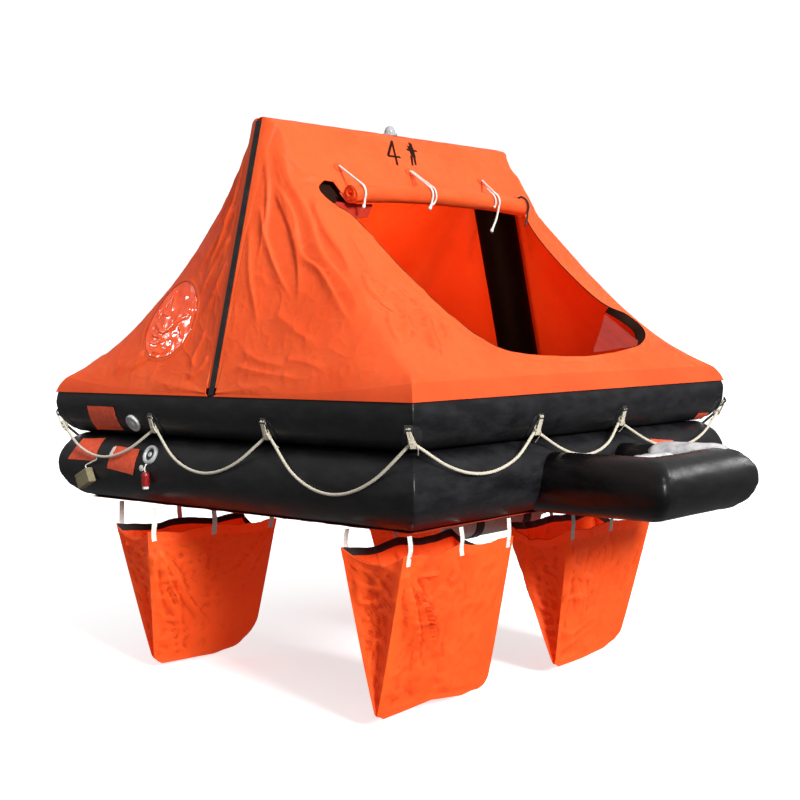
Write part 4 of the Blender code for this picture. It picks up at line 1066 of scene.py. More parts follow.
def floor():
    """The bottom cloth: flat under the tubes, slack between them and a little wavy at its edge."""
    grid = flat_grid(-FLOOR_HALF, FLOOR_HALF, -FLOOR_HALF, FLOOR_HALF, FLOOR_TOP, 97, 97)
    side = np.maximum(abs(grid[..., 0]), abs(grid[..., 1]))
    slack = 1 - smoothstep(side, 0.58, 0.70)
    wave = 0.5 + 0.5 * noise(grid, (0.30, 0.22, 1.0), 61)
    ripple = 0.5 + 0.5 * noise(grid, (0.10, 0.07, 1.0), 62)
    edge = smoothstep(side, 0.765, FLOOR_HALF)
    edge_wave = 0.5 + 0.5 * noise(grid, 0.05, 63)
    grid[..., 2] += slack * (0.010 * wave + 0.004 * ripple) + edge * 0.004 * edge_wave
    low = grid.copy()
    low[..., 2] -= FLOOR_T - 0.0006
    sheet = shell("bottom_cloth", grid, low, M["floor"])
    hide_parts("floor_sheet")


def platform_deck():
    """The slung sheet between the platform's arms, and the light pad behind its front tube."""
    inner = PLATFORM_R - 0.004
    x0, x1 = PLATFORM_X[0] + inner, PLATFORM_X[1] - inner
    y0, y1 = PLATFORM_Y + inner, -HALF - TUBE_R + 0.006
    grid = flat_grid(x0, x1, y0, y1, PLATFORM_Z, 40, 44)
    across = (grid[..., 0] - (x0 + x1) / 2) / ((x1 - x0) / 2)
    sag = (1 - across ** 2) * np.sin(math.pi * (grid[..., 1] - y0) / (y1 - y0))
    grid[..., 2] -= 0.010 * np.maximum(sag, 0)
    grid[..., 2] += 0.0016 * noise(grid, (0.05, 0.03, 1.0), 67)
    low = grid - np.array([0, 0, 0.002])
    web = shell("boarding_sheet", grid, low, M["strip"])
    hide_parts("platform_web")
    low, high = (Vector(v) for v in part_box("platform_pad"))
    # a rounded, slightly pillowed section: depth by height
    a = steps_round(28)
    u, v = (np.sign(way) * abs(way) ** 0.45 for way in (np.cos(a), np.sin(a)))
    t = np.linspace(-1, 1, 72)[:, None]
    fill = 1 - 0.22 * abs(t) ** 7
    half = (high - low) / 2
    mid = (high + low) / 2
    grid = np.stack([mid.x + half.x * t + 0 * u, mid.y + half.y * 0.98 * fill * u,
                     mid.z + half.z * fill * v], -1)
    out = unit((grid - np.array(mid)) * np.array([0, 1, 1]))
    dent = 0.0022 * noise(grid, (0.028, 0.05, 0.05), 71) - 0.0012
    grid = grid + out * np.minimum(dent, 0)[..., None]
    pad = grid_solid("boarding_pad", grid, False, M["pad"])
    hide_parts("platform_pad")
    # the pale pad that lies over the right arm, its edge drawn in towards the front tube; its pale colour is
    # partly a painted highlight, standing in for the bright top of the tube
    tree = skin_tree("boarding_tube")
    t, c = np.meshgrid(np.linspace(0, 1, 44), np.linspace(0, 1, 22), indexing="ij")
    edge = np.interp(t, (0, 0.08, 0.35, 0.62, 1), (0.168, 0.142, 0.151, 0.172, 0.205))
    x, y = edge + (0.238 - edge) * c, -0.985 - 0.262 * t
    rise = (1 - abs(2 * c - 1) ** 5) * (1 - abs(2 * t - 1) ** 9)
    spots = zip(x.ravel(), y.ravel())
    grid = np.array([tree.ray_cast(Vector((a, b, 1)), Vector((0, 0, -1)))[0] for a, b in spots])
    grid = grid.reshape(*x.shape, 3)
    normal = outward(grid, np.array([0, 0, 1.0]))
    lift = 0.0015 + 0.0125 * rise + 0.001 * noise(grid, 0.04, 72) * rise
    arm_pad = shell("arm_pad", grid + normal * lift[..., None], grid + normal * 0.0004, M["pad"],
                    sharp=60)


def overlay(name, grid, normal, lift, thick, mat, wrap=False):
    """A thin layer on part of a surface's own grid."""
    return shell(name, grid + normal * lift, grid + normal * (lift - thick), mat, wrap, sharp=60)


def outward(grid, towards):
    normal = grid_normals(grid)
    return normal if (normal * towards).sum() > 0 else -normal


def canopy_tapes():
    """The hem tapes along the tube, the ridge tape and the black strips over the arch legs."""
    for name, grid in (("hem_tape_front", front_grid), ("hem_tape_back", back_grid)):
        rows = grid[-8:]
        normal = outward(rows, unit(rows * np.array([1, 1, 0])))
        overlay(name, rows, normal, 0.0011, 0.0009, M["hem"])
    xs = np.linspace(-RIDGE_HALF + 0.012, RIDGE_HALF - 0.012, 120)[:, None]
    ang = np.linspace(-0.21, 0.21, 15)
    r = WRAP_R + 0.0012 - 0.0007 * (ang / 0.21) ** 4
    grid = np.stack(np.broadcast_arrays(xs, r * np.sin(ang), ARCH_CORNER.z + r * np.cos(ang)), -1)
    grid[..., 2] += 0.0007 * noise(grid, (0.05, 0.02, 1.0), 73)
    normal = outward(grid, np.array([0, 0, 1.0]))
    overlay("ridge_tape", grid, normal, 0.0, 0.0014, M["canopy"])
    low, high = Vector((HEM_OUT, 0, HEM_Z)), Vector((RIDGE_HALF, 0, RIDGE_Z))
    leg = (high - low).normalized()
    out = Vector((leg.z, 0, -leg.x))
    w, t = STRIP_HALF, SKIN
    section = [(-t, -w + 0.0008), (-0.0008, -w), (0.0004, -w + 0.002), (0.0010, -w * 0.5), (0.0012, 0),
               (0.0010, w * 0.5), (0.0004, w - 0.002), (-0.0008, w), (-t, w - 0.0008)]
    length = (high - low).length
    for name, side in (("strip_left", -1), ("strip_right", 1)):
        path = [low + leg * d for d in np.linspace(0.004, length - 0.012, 150)]
        path = np.array([(p.x * side, 0, p.z) for p in path])
        path[:, 1] += 0.0006 * noise(path, 0.09, 79)
        strip = swept(name, path, section, M["strip"], sharp=40, up=(side * out.x, 0, out.z))
        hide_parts(f"arch_{name}")


tubes()
floor()
platform_deck()
canopy_tapes()


# Ballast bags

BAG_W, BAG_D, BAG_H = 0.51, 0.25, 0.48
BAG_PANEL, BAG_GUSSET, BAG_ROWS = 48, 18, 60
BAG_T = 0.0022
TIE_W, TIE_T = 0.018, 0.0018
SEAM_SECTION = ((-0.012, -0.0019), (0.004, -0.0024), (0.004, 0.0024), (-0.012, 0.0019), (-0.0128, 0.0))
BAGS = [
    # node, centre x, centre y, rim height, turn, foot (left, right) shift, drop (left, right), round, seed
    ("ballast_bag_1", -0.585, -0.675, -0.092, 0.0, (-0.020, 0.032), (0.014, 0.030), 0.045, 101),
    ("ballast_bag_2", 0.19, -0.70, -0.105, 0.0, (0.060, -0.004), (0.004, -0.020), 0.030, 103),
    ("ballast_bag_3", -0.60, 0.42, -0.118, -0.2, (0.045, -0.016), (0.004, 0.000), 0.105, 107),
    ("ballast_bag_4", 0.60, 0.42, -0.118, 0.2, (0.010, -0.030), (0.004, 0.004), 0.080, 109),
]
# slanting drag folds from the corners and the middle of the rim
BAG_FANS = (
    ((-BAG_W / 2, 0.0), (-84, -54), 9, (0.24, 0.52), 0.007, 0.026),
    ((BAG_W / 2, 0.0), (-130, -92), 6, (0.16, 0.40), 0.009, 0.010),
    ((0.0, 0.0), (-125, -55), 5, (0.10, 0.30), 0.008, 0.008),
)


def bag_surface(foot, drop, round_r, seed):
    """Outer surface of a bag in its own place: rows down, columns round from the back right corner."""
    share = np.linspace(0, 1, BAG_ROWS + 1)[:, None]
    across = np.concatenate([np.linspace(1, -1, BAG_PANEL + 1)[:-1], np.full(BAG_GUSSET, -1.0),
                             np.linspace(-1, 1, BAG_PANEL + 1)[:-1], np.full(BAG_GUSSET, 1.0)])
    depth = np.concatenate([np.full(BAG_PANEL, 1.0), np.linspace(1, -1, BAG_GUSSET + 1)[:-1],
                            np.full(BAG_PANEL, -1.0), np.linspace(-1, 1, BAG_GUSSET + 1)[:-1]])
    on_gusset = abs(across) == 1
    mid = (1 - depth ** 2) * on_gusset
    w, d = across[None], depth[None]
    lean = np.where(w < 0, foot[0], foot[1]) * abs(w)
    half_w = BAG_W / 2 * (1 - 0.10 * share)
    half_d = BAG_D / 2 * (1 - share) ** 0.92 + 0.0012
    x = w * half_w + lean * share
    x -= np.sign(w) * mid * 0.034 * (4 * share * (1 - share)) ** 0.8
    y = d * half_d
    fall = BAG_H + np.where(w < 0, drop[0], drop[1]) * abs(w)
    z = -fall * share
    # the two bottom corners are rounded: the cloth's square corner is drawn on to a quarter circle
    corner = np.where(w > 0, round_r, 0.25 * round_r) + 0 * share
    a = 1 - np.minimum(half_w * (1 - abs(w)) / corner, 1)
    b = 1 - np.minimum((fall + z) / corner, 1)
    x = x + np.sign(w) * corner * (a * np.sqrt(1 - b * b / 2) - a)
    z = z - corner * (b * np.sqrt(1 - a * a / 2) - b)
    # the rim hangs between its ties, and the gussets' rims hang deeper
    sag = 0.013 * np.sin(math.pi * w) ** 2 * (1 - mid) + 0.045 * mid
    z = z - sag * (1 - share) ** 3
    p = np.stack(np.broadcast_arrays(x, y, z), -1)
    p[..., 2] -= 0.005 * noise(p, (0.045, 0.2, 9.0), seed) * (1 - share) ** 4
    normal = grid_normals(p, True)
    if (normal[10, 10] @ np.array([0, 1.0, 0])) < 0:
        normal = -normal
    inside = np.sin(math.pi * np.clip((w + 1) / 2, 0, 1)) ** 0.5 + 0 * share
    panel = np.where(on_gusset[None], np.sqrt(mid)[None], inside)
    belly = np.sin(math.pi * share ** 0.8)
    relief = 0.010 * panel * belly
    lively = 0.7 + 1.1 * smoothstep(-w, -0.1, 0.9)
    upright = noise(p, (0.055, 0.10, 0.34), seed + 1)
    relief = relief + 0.0085 * upright * panel * smoothstep(share, 0.02, 0.2) * lively
    relief = relief + 0.0055 * noise(p, (0.10, 0.10, 0.12), seed + 2) * panel
    relief = relief + 0.0110 * (crumple(p, 0.065, seed + 3) - 0.3) * panel * lively
    flat = np.stack([p[..., 0], p[..., 2]], -1).reshape(-1, 2)
    drag = folds(flat, fans(np.random.default_rng(seed), BAG_FANS)).reshape(p.shape[:2])
    relief = relief + drag * panel * (~on_gusset)[None]
    relief = relief * (1 - smoothstep(share, 0.93, 1.0)) + 0.0014 * (abs(abs(w) - 1) < 0.02) * (1 - mid)
    return p + normal * relief[..., None], normal


def bag_ties(node, outer, normal, facing):
    """White straps from the floor to the rim, each sewn down the bag for a few centimetres."""
    section = [(-TIE_T / 2, -TIE_W / 2), (0, -TIE_W / 2 - 0.0005), (TIE_T / 2, -TIE_W / 2),
               (TIE_T / 2, TIE_W / 2), (0, TIE_W / 2 + 0.0005), (-TIE_T / 2, TIE_W / 2)]
    spots = [start + col for start in (0, BAG_PANEL + BAG_GUSSET)
             for col in (2, BAG_PANEL // 2, BAG_PANEL - 2)]
    straps = []
    rng = np.random.default_rng(len(node) + int(node[-1]))
    for col in spots:
        top = outer[0, col]
        away = normal[1, col]
        sewn = [outer[r, col] + away * 0.0022 for r in (4, 2, 0)]
        up = top + np.array([rng.uniform(-0.006, 0.006), 0, 0])
        ceiling = np.array([up[0], up[1], FLOOR_BOTTOM + 0.0005])
        bow = away * rng.uniform(0.002, 0.007)
        middle = (top + ceiling) / 2 + bow
        path = spaced([*sewn, (sewn[-1] + middle) / 2 + bow * 0.4, middle, ceiling], 0.004)
        straps.append(swept(f"{node}_tie", path, section, M["webbing"], up=facing))
    return joined(f"{node}_ties", straps)


def bags():
    for node, x, y, z, turn, foot, drop, round_r, seed in BAGS:
        rot = Matrix.Rotation(turn, 3, "Z")
        spin = np.array(rot)
        grid, normal = bag_surface(foot, drop, round_r, seed)
        grid = grid @ spin.T + np.array([x, y, z])
        normal = normal @ spin.T
        squeeze = (1 - 0.75 * smoothstep(np.linspace(0, 1, BAG_ROWS + 1), 0.94, 1.0))[:, None, None]
        inner = grid - normal * BAG_T * squeeze
        bag = shell(node.replace("ballast", "cloth"), grid, inner, M["bag"], wrap=True,
                    sharp=55)
        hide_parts(node)
        hem = overlay(f"{node}_hem", grid[:5], normal[:5], 0.0009, 0.0008, M["bag"], wrap=True)
        tape = overlay(f"{node}_binding", (grid - normal * BAG_T)[:4], normal[:4], -0.0003, 0.0012,
                       M["black_web"], wrap=True)
        half = BAG_PANEL + BAG_GUSSET
        foot_line = (grid[-1, half:half + BAG_PANEL + 1] + grid[-1, :BAG_PANEL + 1][::-1]) / 2
        foot_line = spaced(foot_line[1:-int(round_r / 0.0106) - 1], 0.006)
        n = len(foot_line)
        taper = 0.12 + 0.88 * smoothstep(np.arange(n), 0, 4) * (1 - smoothstep(np.arange(n), n - 14, n - 1))
        flange = np.array(SEAM_SECTION)[None] * taper[:, None, None]
        foot_line[:, 1] += 0.0012 * noise(foot_line, 0.03, seed + 9)
        seam = swept(f"{node}_seam", foot_line, flange, M["bag_hem"], up=(0, 0, 1))
        ties = bag_ties(node, grid, normal, rot @ Vector((0, 1, 0)))


# Lifeline: the frame's own route, made a laid rope, with a lashing at every fixing

# fixing points, each with its place along the side and the sag of the span that follows it
LINE_STOPS = (
    ((-0.81, 0.10), (-0.276, 0.085), (0.201, 0.10)),     # front, left to right
    ((-0.81, 0.12), (-0.262, 0.12), (0.262, 0.12)),      # right, front to back
    ((-0.81, 0.12), (-0.262, 0.12), (0.262, 0.12)),      # back, right to left
    ((-0.81, 0.10), (-0.321, 0.126), (0.249, 0.155)),    # left, back to front
)
LINE_Z = 0.235
LINE_ANGLE = math.asin((LINE_Z - UPPER_Z) / TUBE_R)
LINE_R = 0.005
LINE_OUT = 0.012
SPAN_START = (0.016, 0.010)
CORNER_OUT = 0.006
SPAN_POINTS = 5
ROPE_PITCH = 0.032
STRAND_R = 0.0017
PATCH = (0.060, -0.026, 0.056, 0.0016)        # width, lowest and highest from the rope, thickness


def around(side, along, out, z):
    """A point at a distance out from the plan centre; sides 0 front, 1 right, 2 back, 3 left."""
    c, s = ((1, 0), (0, 1), (-1, 0), (0, -1))[side]
    return np.array([along * c + out * s, along * s - out * c, z])


def line_stop(side, i):
    out = HALF + (TUBE_R + LINE_OUT) * math.cos(LINE_ANGLE)
    z = UPPER_Z + (TUBE_R + LINE_OUT) * math.sin(LINE_ANGLE)
    if i == 0:
        return around(side, -(out + CORNER_OUT), out + CORNER_OUT, z)
    return around(side, LINE_STOPS[side][i][0], out, z)


def span_point(side, i, share):
    """A point of the span that follows a fixing point, lying along the tubes as it hangs."""
    a = line_stop(side, i) + around(side, SPAN_START[i > 0], 0, 0)
    b = line_stop(side, i + 1) if i < 2 else line_stop((side + 1) % 4, 0)
    b = b - around(side, SPAN_START[i < 2], 0, 0)
    hang = 4 * share * (1 - share)
    p = a * (1 - share) + b * share
    p[2] -= LINE_STOPS[side][i][1] * hang
    belly = HALF + TUBE_R + LINE_R + 0.003
    outward_way = around(side, 0, 1, 0)
    return p + outward_way * ((belly - p @ outward_way) * min(1.0, 1.2 * hang))


def by_fixing(side, i, along, w, n):
    """A point near a fixing: along its side, w up round the upper tube from the rope, n off the tube."""
    ang = LINE_ANGLE + w / TUBE_R
    out, z = (TUBE_R + n) * math.cos(ang), UPPER_Z + (TUBE_R + n) * math.sin(ang)
    if i:
        return around(side, LINE_STOPS[side][i][0] + along, HALF + out, z)
    run = (around(side, 1, 0, 0) + around((side + 3) % 4, 1, 0, 0)) / math.sqrt(2)
    corner = around(side, -HALF, HALF, 0) + around(side, -1, 1, 0) * out
    return corner + run * along * 0.8 + np.array([0, 0, z])


def lashing(side, i, number):
    """Close turns of thin cord round the rope and up through the patch's loop, with a short tail."""
    rng = np.random.default_rng(300 + number)
    top = rng.uniform(0.044, 0.052)
    lean = -0.016 if i == 0 else rng.uniform(-0.004, 0.004)
    count = 6
    reach = LINE_R + 1.25 * STRAND_R
    loops = []
    for k in range(count):
        a = (k - (count - 1) / 2) * 2.05 * STRAND_R
        jitter = rng.uniform(-0.0015, 0.0015)
        loop = []
        for t in np.radians(range(-205, 30, 23)):
            loop.append((a, reach * math.sin(t), LINE_OUT + reach * math.cos(t)))
        for t in np.radians((10, 60, 110, 160)):
            up = top + jitter + 0.004 * math.sin(t)
            loop.append((a * 0.86 + lean + jitter, up, 0.0052 + 0.0026 * math.cos(t)))
        loops.append(loop)
    # two wraps across the turns, and the tail
    half = count * STRAND_R + 0.001
    for w in (0.010, 0.0135):
        loops.append([(lean * w / top + half * math.cos(t), w + 0.0008 * math.cos(t),
                       0.0092 + 0.0062 * math.sin(t))
                      for t in steps_round(13)])
    tail = [(0.010, 0.012, 0.014), (0.015, 0.004, 0.019), (0.019, -0.010, 0.020),
            (0.022 + rng.uniform(-0.003, 0.004), -0.026 - rng.uniform(0, 0.008), 0.021)]
    name = f"lashing_{number:02d}"
    pieces = []
    for loop in loops:
        path = spaced([by_fixing(side, i, *q) for q in loop + loop[:1]], 0.0032)[:-1]
        pieces.append(swept(name, path, circle(STRAND_R, 8), M["rope"], closed=True))
    path = spaced([by_fixing(side, i, *q) for q in tail], 0.004)
    pieces.append(swept(name, path, circle(STRAND_R * 1.1, 8), M["rope"]))
    return joined(name, pieces)


def patch_grid(side, i, n):
    """A rounded patch on the upper tube under a fixing; on a corner it folds over the mitre."""
    width, low, high, _ = PATCH
    rows, cols = 22, 20
    grid = np.zeros((rows, cols, 3))
    for r, s in enumerate(np.linspace(-1, 1, rows)):
        for c, t in enumerate(np.linspace(-1, 1, cols)):
            # a square pulled to a rounded shape
            u = t * math.sqrt(1 - 0.42 * s ** 2 * abs(s) ** 3)
            v = s * math.sqrt(1 - 0.42 * t ** 2 * abs(t) ** 3)
            a = u * width / 2
            w = (low + high) / 2 + v * (high - low) / 2
            off = n * (1 - max(abs(s), abs(t)) ** 10 * 0.5)
            ang = LINE_ANGLE + w / TUBE_R
            out, z = HALF + (TUBE_R + off) * math.cos(ang), UPPER_Z + (TUBE_R + off) * math.sin(ang)
            if i:
                grid[r, c] = by_fixing(side, i, a, w, off)
            elif a < 0:
                grid[r, c] = around((side + 3) % 4, out + a * 1.3, out, z)
            else:
                grid[r, c] = around(side, -out + a * 1.3, out, z)
    return grid


def fixing(side, i, number):
    """The black patch with its webbing loop, in place of the frame's tab."""
    patch = shell(f"patch_{number:02d}", patch_grid(side, i, PATCH[3] + 0.0008), patch_grid(side, i, -0.0006),
                  M["strip"], sharp=60)
    flat = [(-0.0009, -0.012), (0.0009, -0.012), (0.0009, 0.012), (-0.0009, 0.012)]
    aside = 0 if i else -0.016
    route = ((0.024, 0.0026), (0.034, 0.0034), (0.047, 0.0092), (0.054, 0.0036), (0.060, 0.0026))
    path = spaced([by_fixing(side, i, aside, w, n) for w, n in route], 0.003)
    away = around(side, 0, 1, 0) if i else around(side, -1, 1, 0) / math.sqrt(2)
    loop = swept(f"loop_{number:02d}", path, flat, M["black_web"], up=away)
    piece = joined(f"fixing_{number:02d}", [patch, loop])
    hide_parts(f"lifeline_tab_{number:02d}")


def lifeline():
    """One three-strand rope right round the raft, whose ends meet at the front left corner."""
    route = [span_point(side, i, n / SPAN_POINTS)
             for side in range(4) for i in range(3) for n in range(SPAN_POINTS + 1)]
    middle = (route[0] + route[-1]) / 2
    away = unit(route[0] - route[-1]) * 0.0005
    path = spaced([middle + away] + route + [middle - away], 0.0042)
    rope = laid("grab_rope", path, LINE_R, M["rope"], ROPE_PITCH, 18, depth=0.22)
    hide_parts("lifeline")
    for number in range(12):
        side, i = number // 3, number % 3
        fixing(side, i, number + 1)
        lashing(side, i, number + 1)
    hangs(path, every=3)


bags()
lifeline()


# Doorway: the rolled curtain with its ties, the edges and the printed marks

ROLL_R, ROLL_S, ROLL_X, ROLL_CLEAR = 0.032, 0.392, (-0.51, 0.415), 0.0013
ROLL_TURNS, ROLL_CORE, ROLL_SHEET = 5.9, 0.2, 0.0018
ROLL_DEEP, ROLL_TALL = 0.94, 1.02        # shares of the radius: off the slope, and along it
# columns: x of the anchor, x on the roll, tail below the roll, drift along the roll
DOOR_TIES = [(-0.438, -0.475, 0.02, -0.008), (-0.092, -0.155, 0.02, -0.016), (0.318, 0.215, 0.08, -0.045)]
# second strands, by tie: the same columns
SECOND_STRANDS = {2: (-0.080, -0.138, 0.006, -0.030), 3: (0.300, 0.192, -0.012, -0.006)}
TIE_ANCHOR_S, TIE_R, TIE_STEP = 0.235, 0.004, 0.0034
STRAP_X, STRAP_R = 0.398, 0.0042
frame_tree = reader(canopy_frame_grid(), 1)


def height(x, s, tree=front_tree):
    """How far the cloth stands off the flat slope at a place."""
    hit = tree.ray_cast(on_slope(x, s, 0.3), -SLOPE_OUT, 0.6)[0]
    return (hit - on_slope(x, s)).dot(SLOPE_OUT)


def slope_points(x, s, out):
    """Points over the front slope, from arrays of places."""
    x, s, out = (np.asarray(v)[..., None] for v in (x, s, out))
    top = np.array([0, 0, RIDGE_Z])
    return top + x * np.array([1.0, 0, 0]) + s * np.array(SLOPE_DOWN) + out * np.array(SLOPE_OUT)


def cloth_out(x, s):
    return np.array([height(a, b) for a, b in zip(np.ravel(x), np.ravel(s))]).reshape(np.shape(x))


def drape(name, x, s, lift, thick, mat, sharp=60):
    """A thin closed layer over a grid of places on the front slope, its upper side lift off the cloth."""
    out = cloth_out(x, s) + lift
    outer, inner = slope_points(x, s, out), slope_points(x, s, out - thick)
    return shell(name, outer, inner, mat, sharp=sharp)


def roll_rest(xs):
    """Height of the cloth along the line that the roll rests on."""
    trees = (front_tree, frame_tree)
    rest = np.array([max(height(x, ROLL_S + d, tree) for d in (-0.012, 0, 0.012) for tree in trees)
                     for x in xs])
    pad = np.pad(rest, 2, mode="edge")
    rest = np.max([pad[i:i + len(rest)] for i in range(5)], axis=0)
    for _ in range(20):
        rest[1:-1] = (rest[:-2] + 2 * rest[1:-1] + rest[2:]) / 4
    return rest


ROLL_XS = np.linspace(*ROLL_X, 62)
ROLL_OUT = roll_rest(ROLL_XS) + ROLL_R * ROLL_DEEP + ROLL_CLEAR


def roll_point(x, deg, lift=0.0):
    """A point round the roll at x: 0 degrees is its upper side, 90 its front."""
    a = math.radians(deg)
    centre = on_slope(x, ROLL_S, float(np.interp(x, ROLL_XS, ROLL_OUT)))
    return (centre - SLOPE_DOWN * ((ROLL_R * ROLL_TALL + lift) * math.cos(a))
            + SLOPE_OUT * ((ROLL_R * ROLL_DEEP + lift) * math.sin(a)))


def door_roll():
    """The curtain, rolled up from its foot; its head runs up behind the roll to the doorway's edge."""
    t = np.linspace(0, 1, 1600)
    ang = math.tau * ROLL_TURNS * t - math.pi / 2
    r = ROLL_R * (1 - (1 - ROLL_CORE) * t)
    line = np.stack([ROLL_TALL * r * np.cos(ang), ROLL_DEEP * r * np.sin(ang), ang], -1)
    head = [(d, -ROLL_DEEP * ROLL_R, ang[0]) for d in np.linspace(-0.036, -0.001, 12)]
    line = np.concatenate([head, line])
    run = lengths(line[:, :2])
    at = np.linspace(0, run[-1], 176)
    line = np.stack([np.interp(at, run, line[:, k]) for k in range(3)], -1)
    way = unit(np.gradient(line[:, :2], axis=0))
    off = np.stack([way[:, 1], -way[:, 0]], -1) * ROLL_SHEET / 2
    turn = line[:, 2]
    xs = ROLL_XS[:, None] + 0 * turn[None]
    place = np.stack([xs / 0.10, 1.2 * np.cos(turn)[None] + 0 * xs, 1.2 * np.sin(turn)[None] + 0 * xs], -1)
    swell = 0.055 * (noise(place, 1.0, 131) - 0.25)
    swell += 0.022 * noise(place * np.array([4.5, 2.5, 2.5]), 1.0, 132)
    swell -= 0.05 * np.exp(-((xs - 0.135) / 0.006) ** 2)
    swell *= smoothstep(at, 0.035, 0.07)[None]
    ends = np.sign(xs) * smoothstep(abs(2 * (xs - ROLL_X[0]) / (ROLL_X[1] - ROLL_X[0]) - 1), 0.93, 1.0)
    xs = xs + ends * 0.006 * noise(np.stack([turn * 0.6, turn * 0, turn * 0], -1), 1.0, 133)[None]
    sides = []
    for k in (1, -1):
        d, o = (v[None] * (1 + swell) for v in (line[:, :2] + k * off).T)
        sides.append(slope_points(xs, ROLL_S + d, ROLL_OUT[:, None] + o))
    roll = shell("curtain_roll", sides[0], sides[1], M["canopy"], sharp=70)
    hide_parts("door_roll")
    # the curtain's loose corner, below the roll's left end
    c, r = np.meshgrid(np.linspace(0, 1, 16), np.linspace(0, 1, 8))
    corners = ((-0.539, 0.386), (-0.388, 0.404), (-0.427, 0.446), (-0.52, 0.446))
    x, s = np.moveaxis(between(corners, c, r), -1, 0)
    lift = -0.006 - 0.016 * r + 0.003 * noise(np.stack([x, r, c], -1), 0.03, 134)
    drape("curtain_corner", x, s, lift, ROLL_SHEET, M["shade"], sharp=50)
    # painted shade: a near-black sheet set behind the doorway's upper left corner, where the inside shows
    # dark
    x, s = np.meshgrid(np.linspace(-0.575, -0.44, 12), np.linspace(0.245, 0.372, 12))
    drape("corner_lining", x, s, -0.024, ROLL_SHEET, M["print_and_shade"], sharp=50)


def tie_path(anchor, at, tail, drift):
    """Taut from its disc to the roll, round the roll's front and hanging below it."""
    start = on_slope(anchor, TIE_ANCHOR_S, height(anchor, TIE_ANCHOR_S) + TIE_R + 0.0010)
    touch = roll_point(at, 66, TIE_R + 0.001)
    route = [start] + [start.lerp(touch, t) for t in (0.25, 0.5, 0.75)]
    route += [roll_point(at, deg, TIE_R + 0.001) for deg in (66, 90, 115, 140, 165)]
    end = route[-1]
    route += [end + Vector((0.3 * drift, 0, -0.4 * tail - 0.008)), end + Vector((drift, 0, -tail - 0.012))]
    return spaced(route, TIE_STEP)


def door_ties():
    """White cords from sewn discs over the roll, knotted at their ends, and a black strap on the right."""
    u, v = disc_grid(15)
    for i, row in enumerate(DOOR_TIES, 1):
        path = tie_path(*row)
        knot = (lengths(path)[-1] - 0.007, 0.006)
        tie = laid(f"tie_cord_{i}", path, TIE_R, M["cord"], knots=(knot,))
        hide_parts(f"door_tie_{i}")
        if i in SECOND_STRANDS:
            second = tie_path(*SECOND_STRANDS[i])
            second = second[len(second) // 2:] if i == 3 else second
            laid(f"tie_strand_{i}", second, TIE_R * 0.85, M["cord"])
        hangs(path, every=2)
        at = np.array([row[0] - 0.004, TIE_ANCHOR_S + 0.003])
        disc = drape(f"anchor_{i}", at[0] + 0.019 * u, at[1] + 0.019 * v, 0.0012, 0.0010, M["hem"])
        x, s = (at + circle(0.0165, 40)).T
        stitch = swept(f"anchor_{i}_stitch", slope_points(x, s, cloth_out(x, s) + 0.0014), circle(0.0007, 5),
                       M["stitch_and_shade"], closed=True)
        joined(f"anchor_{i}", [disc, stitch])
    x, s = STRAP_X + 0.012, ROLL_S - 0.052
    route = [on_slope(x, s, height(x, s) + 0.005)]
    route += [roll_point(STRAP_X, deg, 0.0055) for deg in (40, 65, 90, 115, 140, 165)]
    route += [route[-1] + Vector((-0.004, 0, -0.025)), route[-1] + Vector((-0.018, 0, -0.052))]
    path = spaced(route, TIE_STEP)
    strap = laid("roll_strap", path, STRAP_R, M["black_web"], sides=12)
    hangs(path, every=2)


def doorway_edges():
    """A hem band round the doorway, curled out at its lower right, and a thin dark piping on its sides."""
    first, last = 25, 178
    edge = smooth(DOORWAY, 8)[first:last]
    way = unit(np.gradient(edge, axis=0))
    off = np.stack([-way[:, 1], way[:, 0]], -1)
    index = np.arange(first, last)
    curl = smoothstep(index, 112, 124) * (1 - smoothstep(index, 136, 150))
    w = np.array([0, 0.004, 0.009, 0.016, 0.024, 0.031])
    x = edge[:, :1] + off[:, :1] * w
    s = edge[:, 1:] + off[:, 1:] * w
    near_edge = 1 - smoothstep(w, 0, 0.02)[None]
    waves = (1 - smoothstep(w, 0, 0.01))[None] * noise(np.stack([x, s, 0 * x], -1), 0.035, 137)
    lift = 0.0011 - 0.0004 * smoothstep(w, 0.02, 0.031)[None] + 0.008 * curl[:, None] * near_edge
    drape("doorway_band", x, s, lift + 0.0012 * waves, 0.0009, M["canopy"])
    for name, low, high in (("piping_left", 0, 52), ("piping_right", 84, last - first)):
        x, s = edge[low:high].T
        out = cloth_out(x, s) + 0.0004 + 0.0075 * curl[low:high]
        swept(name, slope_points(x, s, out), circle(0.0017, 8), M["print_and_shade"], sharp=80)
    # painted shade: the curled lip's inner side at the lower right, drawn near black, and a dark red sheet
    # behind it that stands in for the shaded inside of the doorway
    lip = slice(84, 120)
    index = np.arange(36)
    w = np.linspace(0, 1, 7)[None]
    reach = 0.020 * (smoothstep(index, 0, 12) * (1 - smoothstep(index, 26, 35)))[:, None] + 0.002
    x, s = (edge[lip, k, None] - off[lip, k, None] * reach * w for k in (0, 1))
    drape("lip_lining", x, s, 0.0075 * curl[lip, None] * (1 - w) - 0.020 * w ** 1.5, 0.0014, M["print_and_shade"])
    c, r = np.meshgrid(np.linspace(0, 1, 14), np.linspace(0.03, 1, 14))
    top = (0.485, 0.902)
    x, s = np.moveaxis(between((top, top, (0.560, 1.075), (0.180, 1.105)), c, r), -1, 0)
    waves = noise(np.stack([x, s, 0 * x], -1), 0.06, 138)
    drape("lip_patch", x, s, -0.012 + 0.002 * waves, 0.0012, M["stitch_and_shade"])


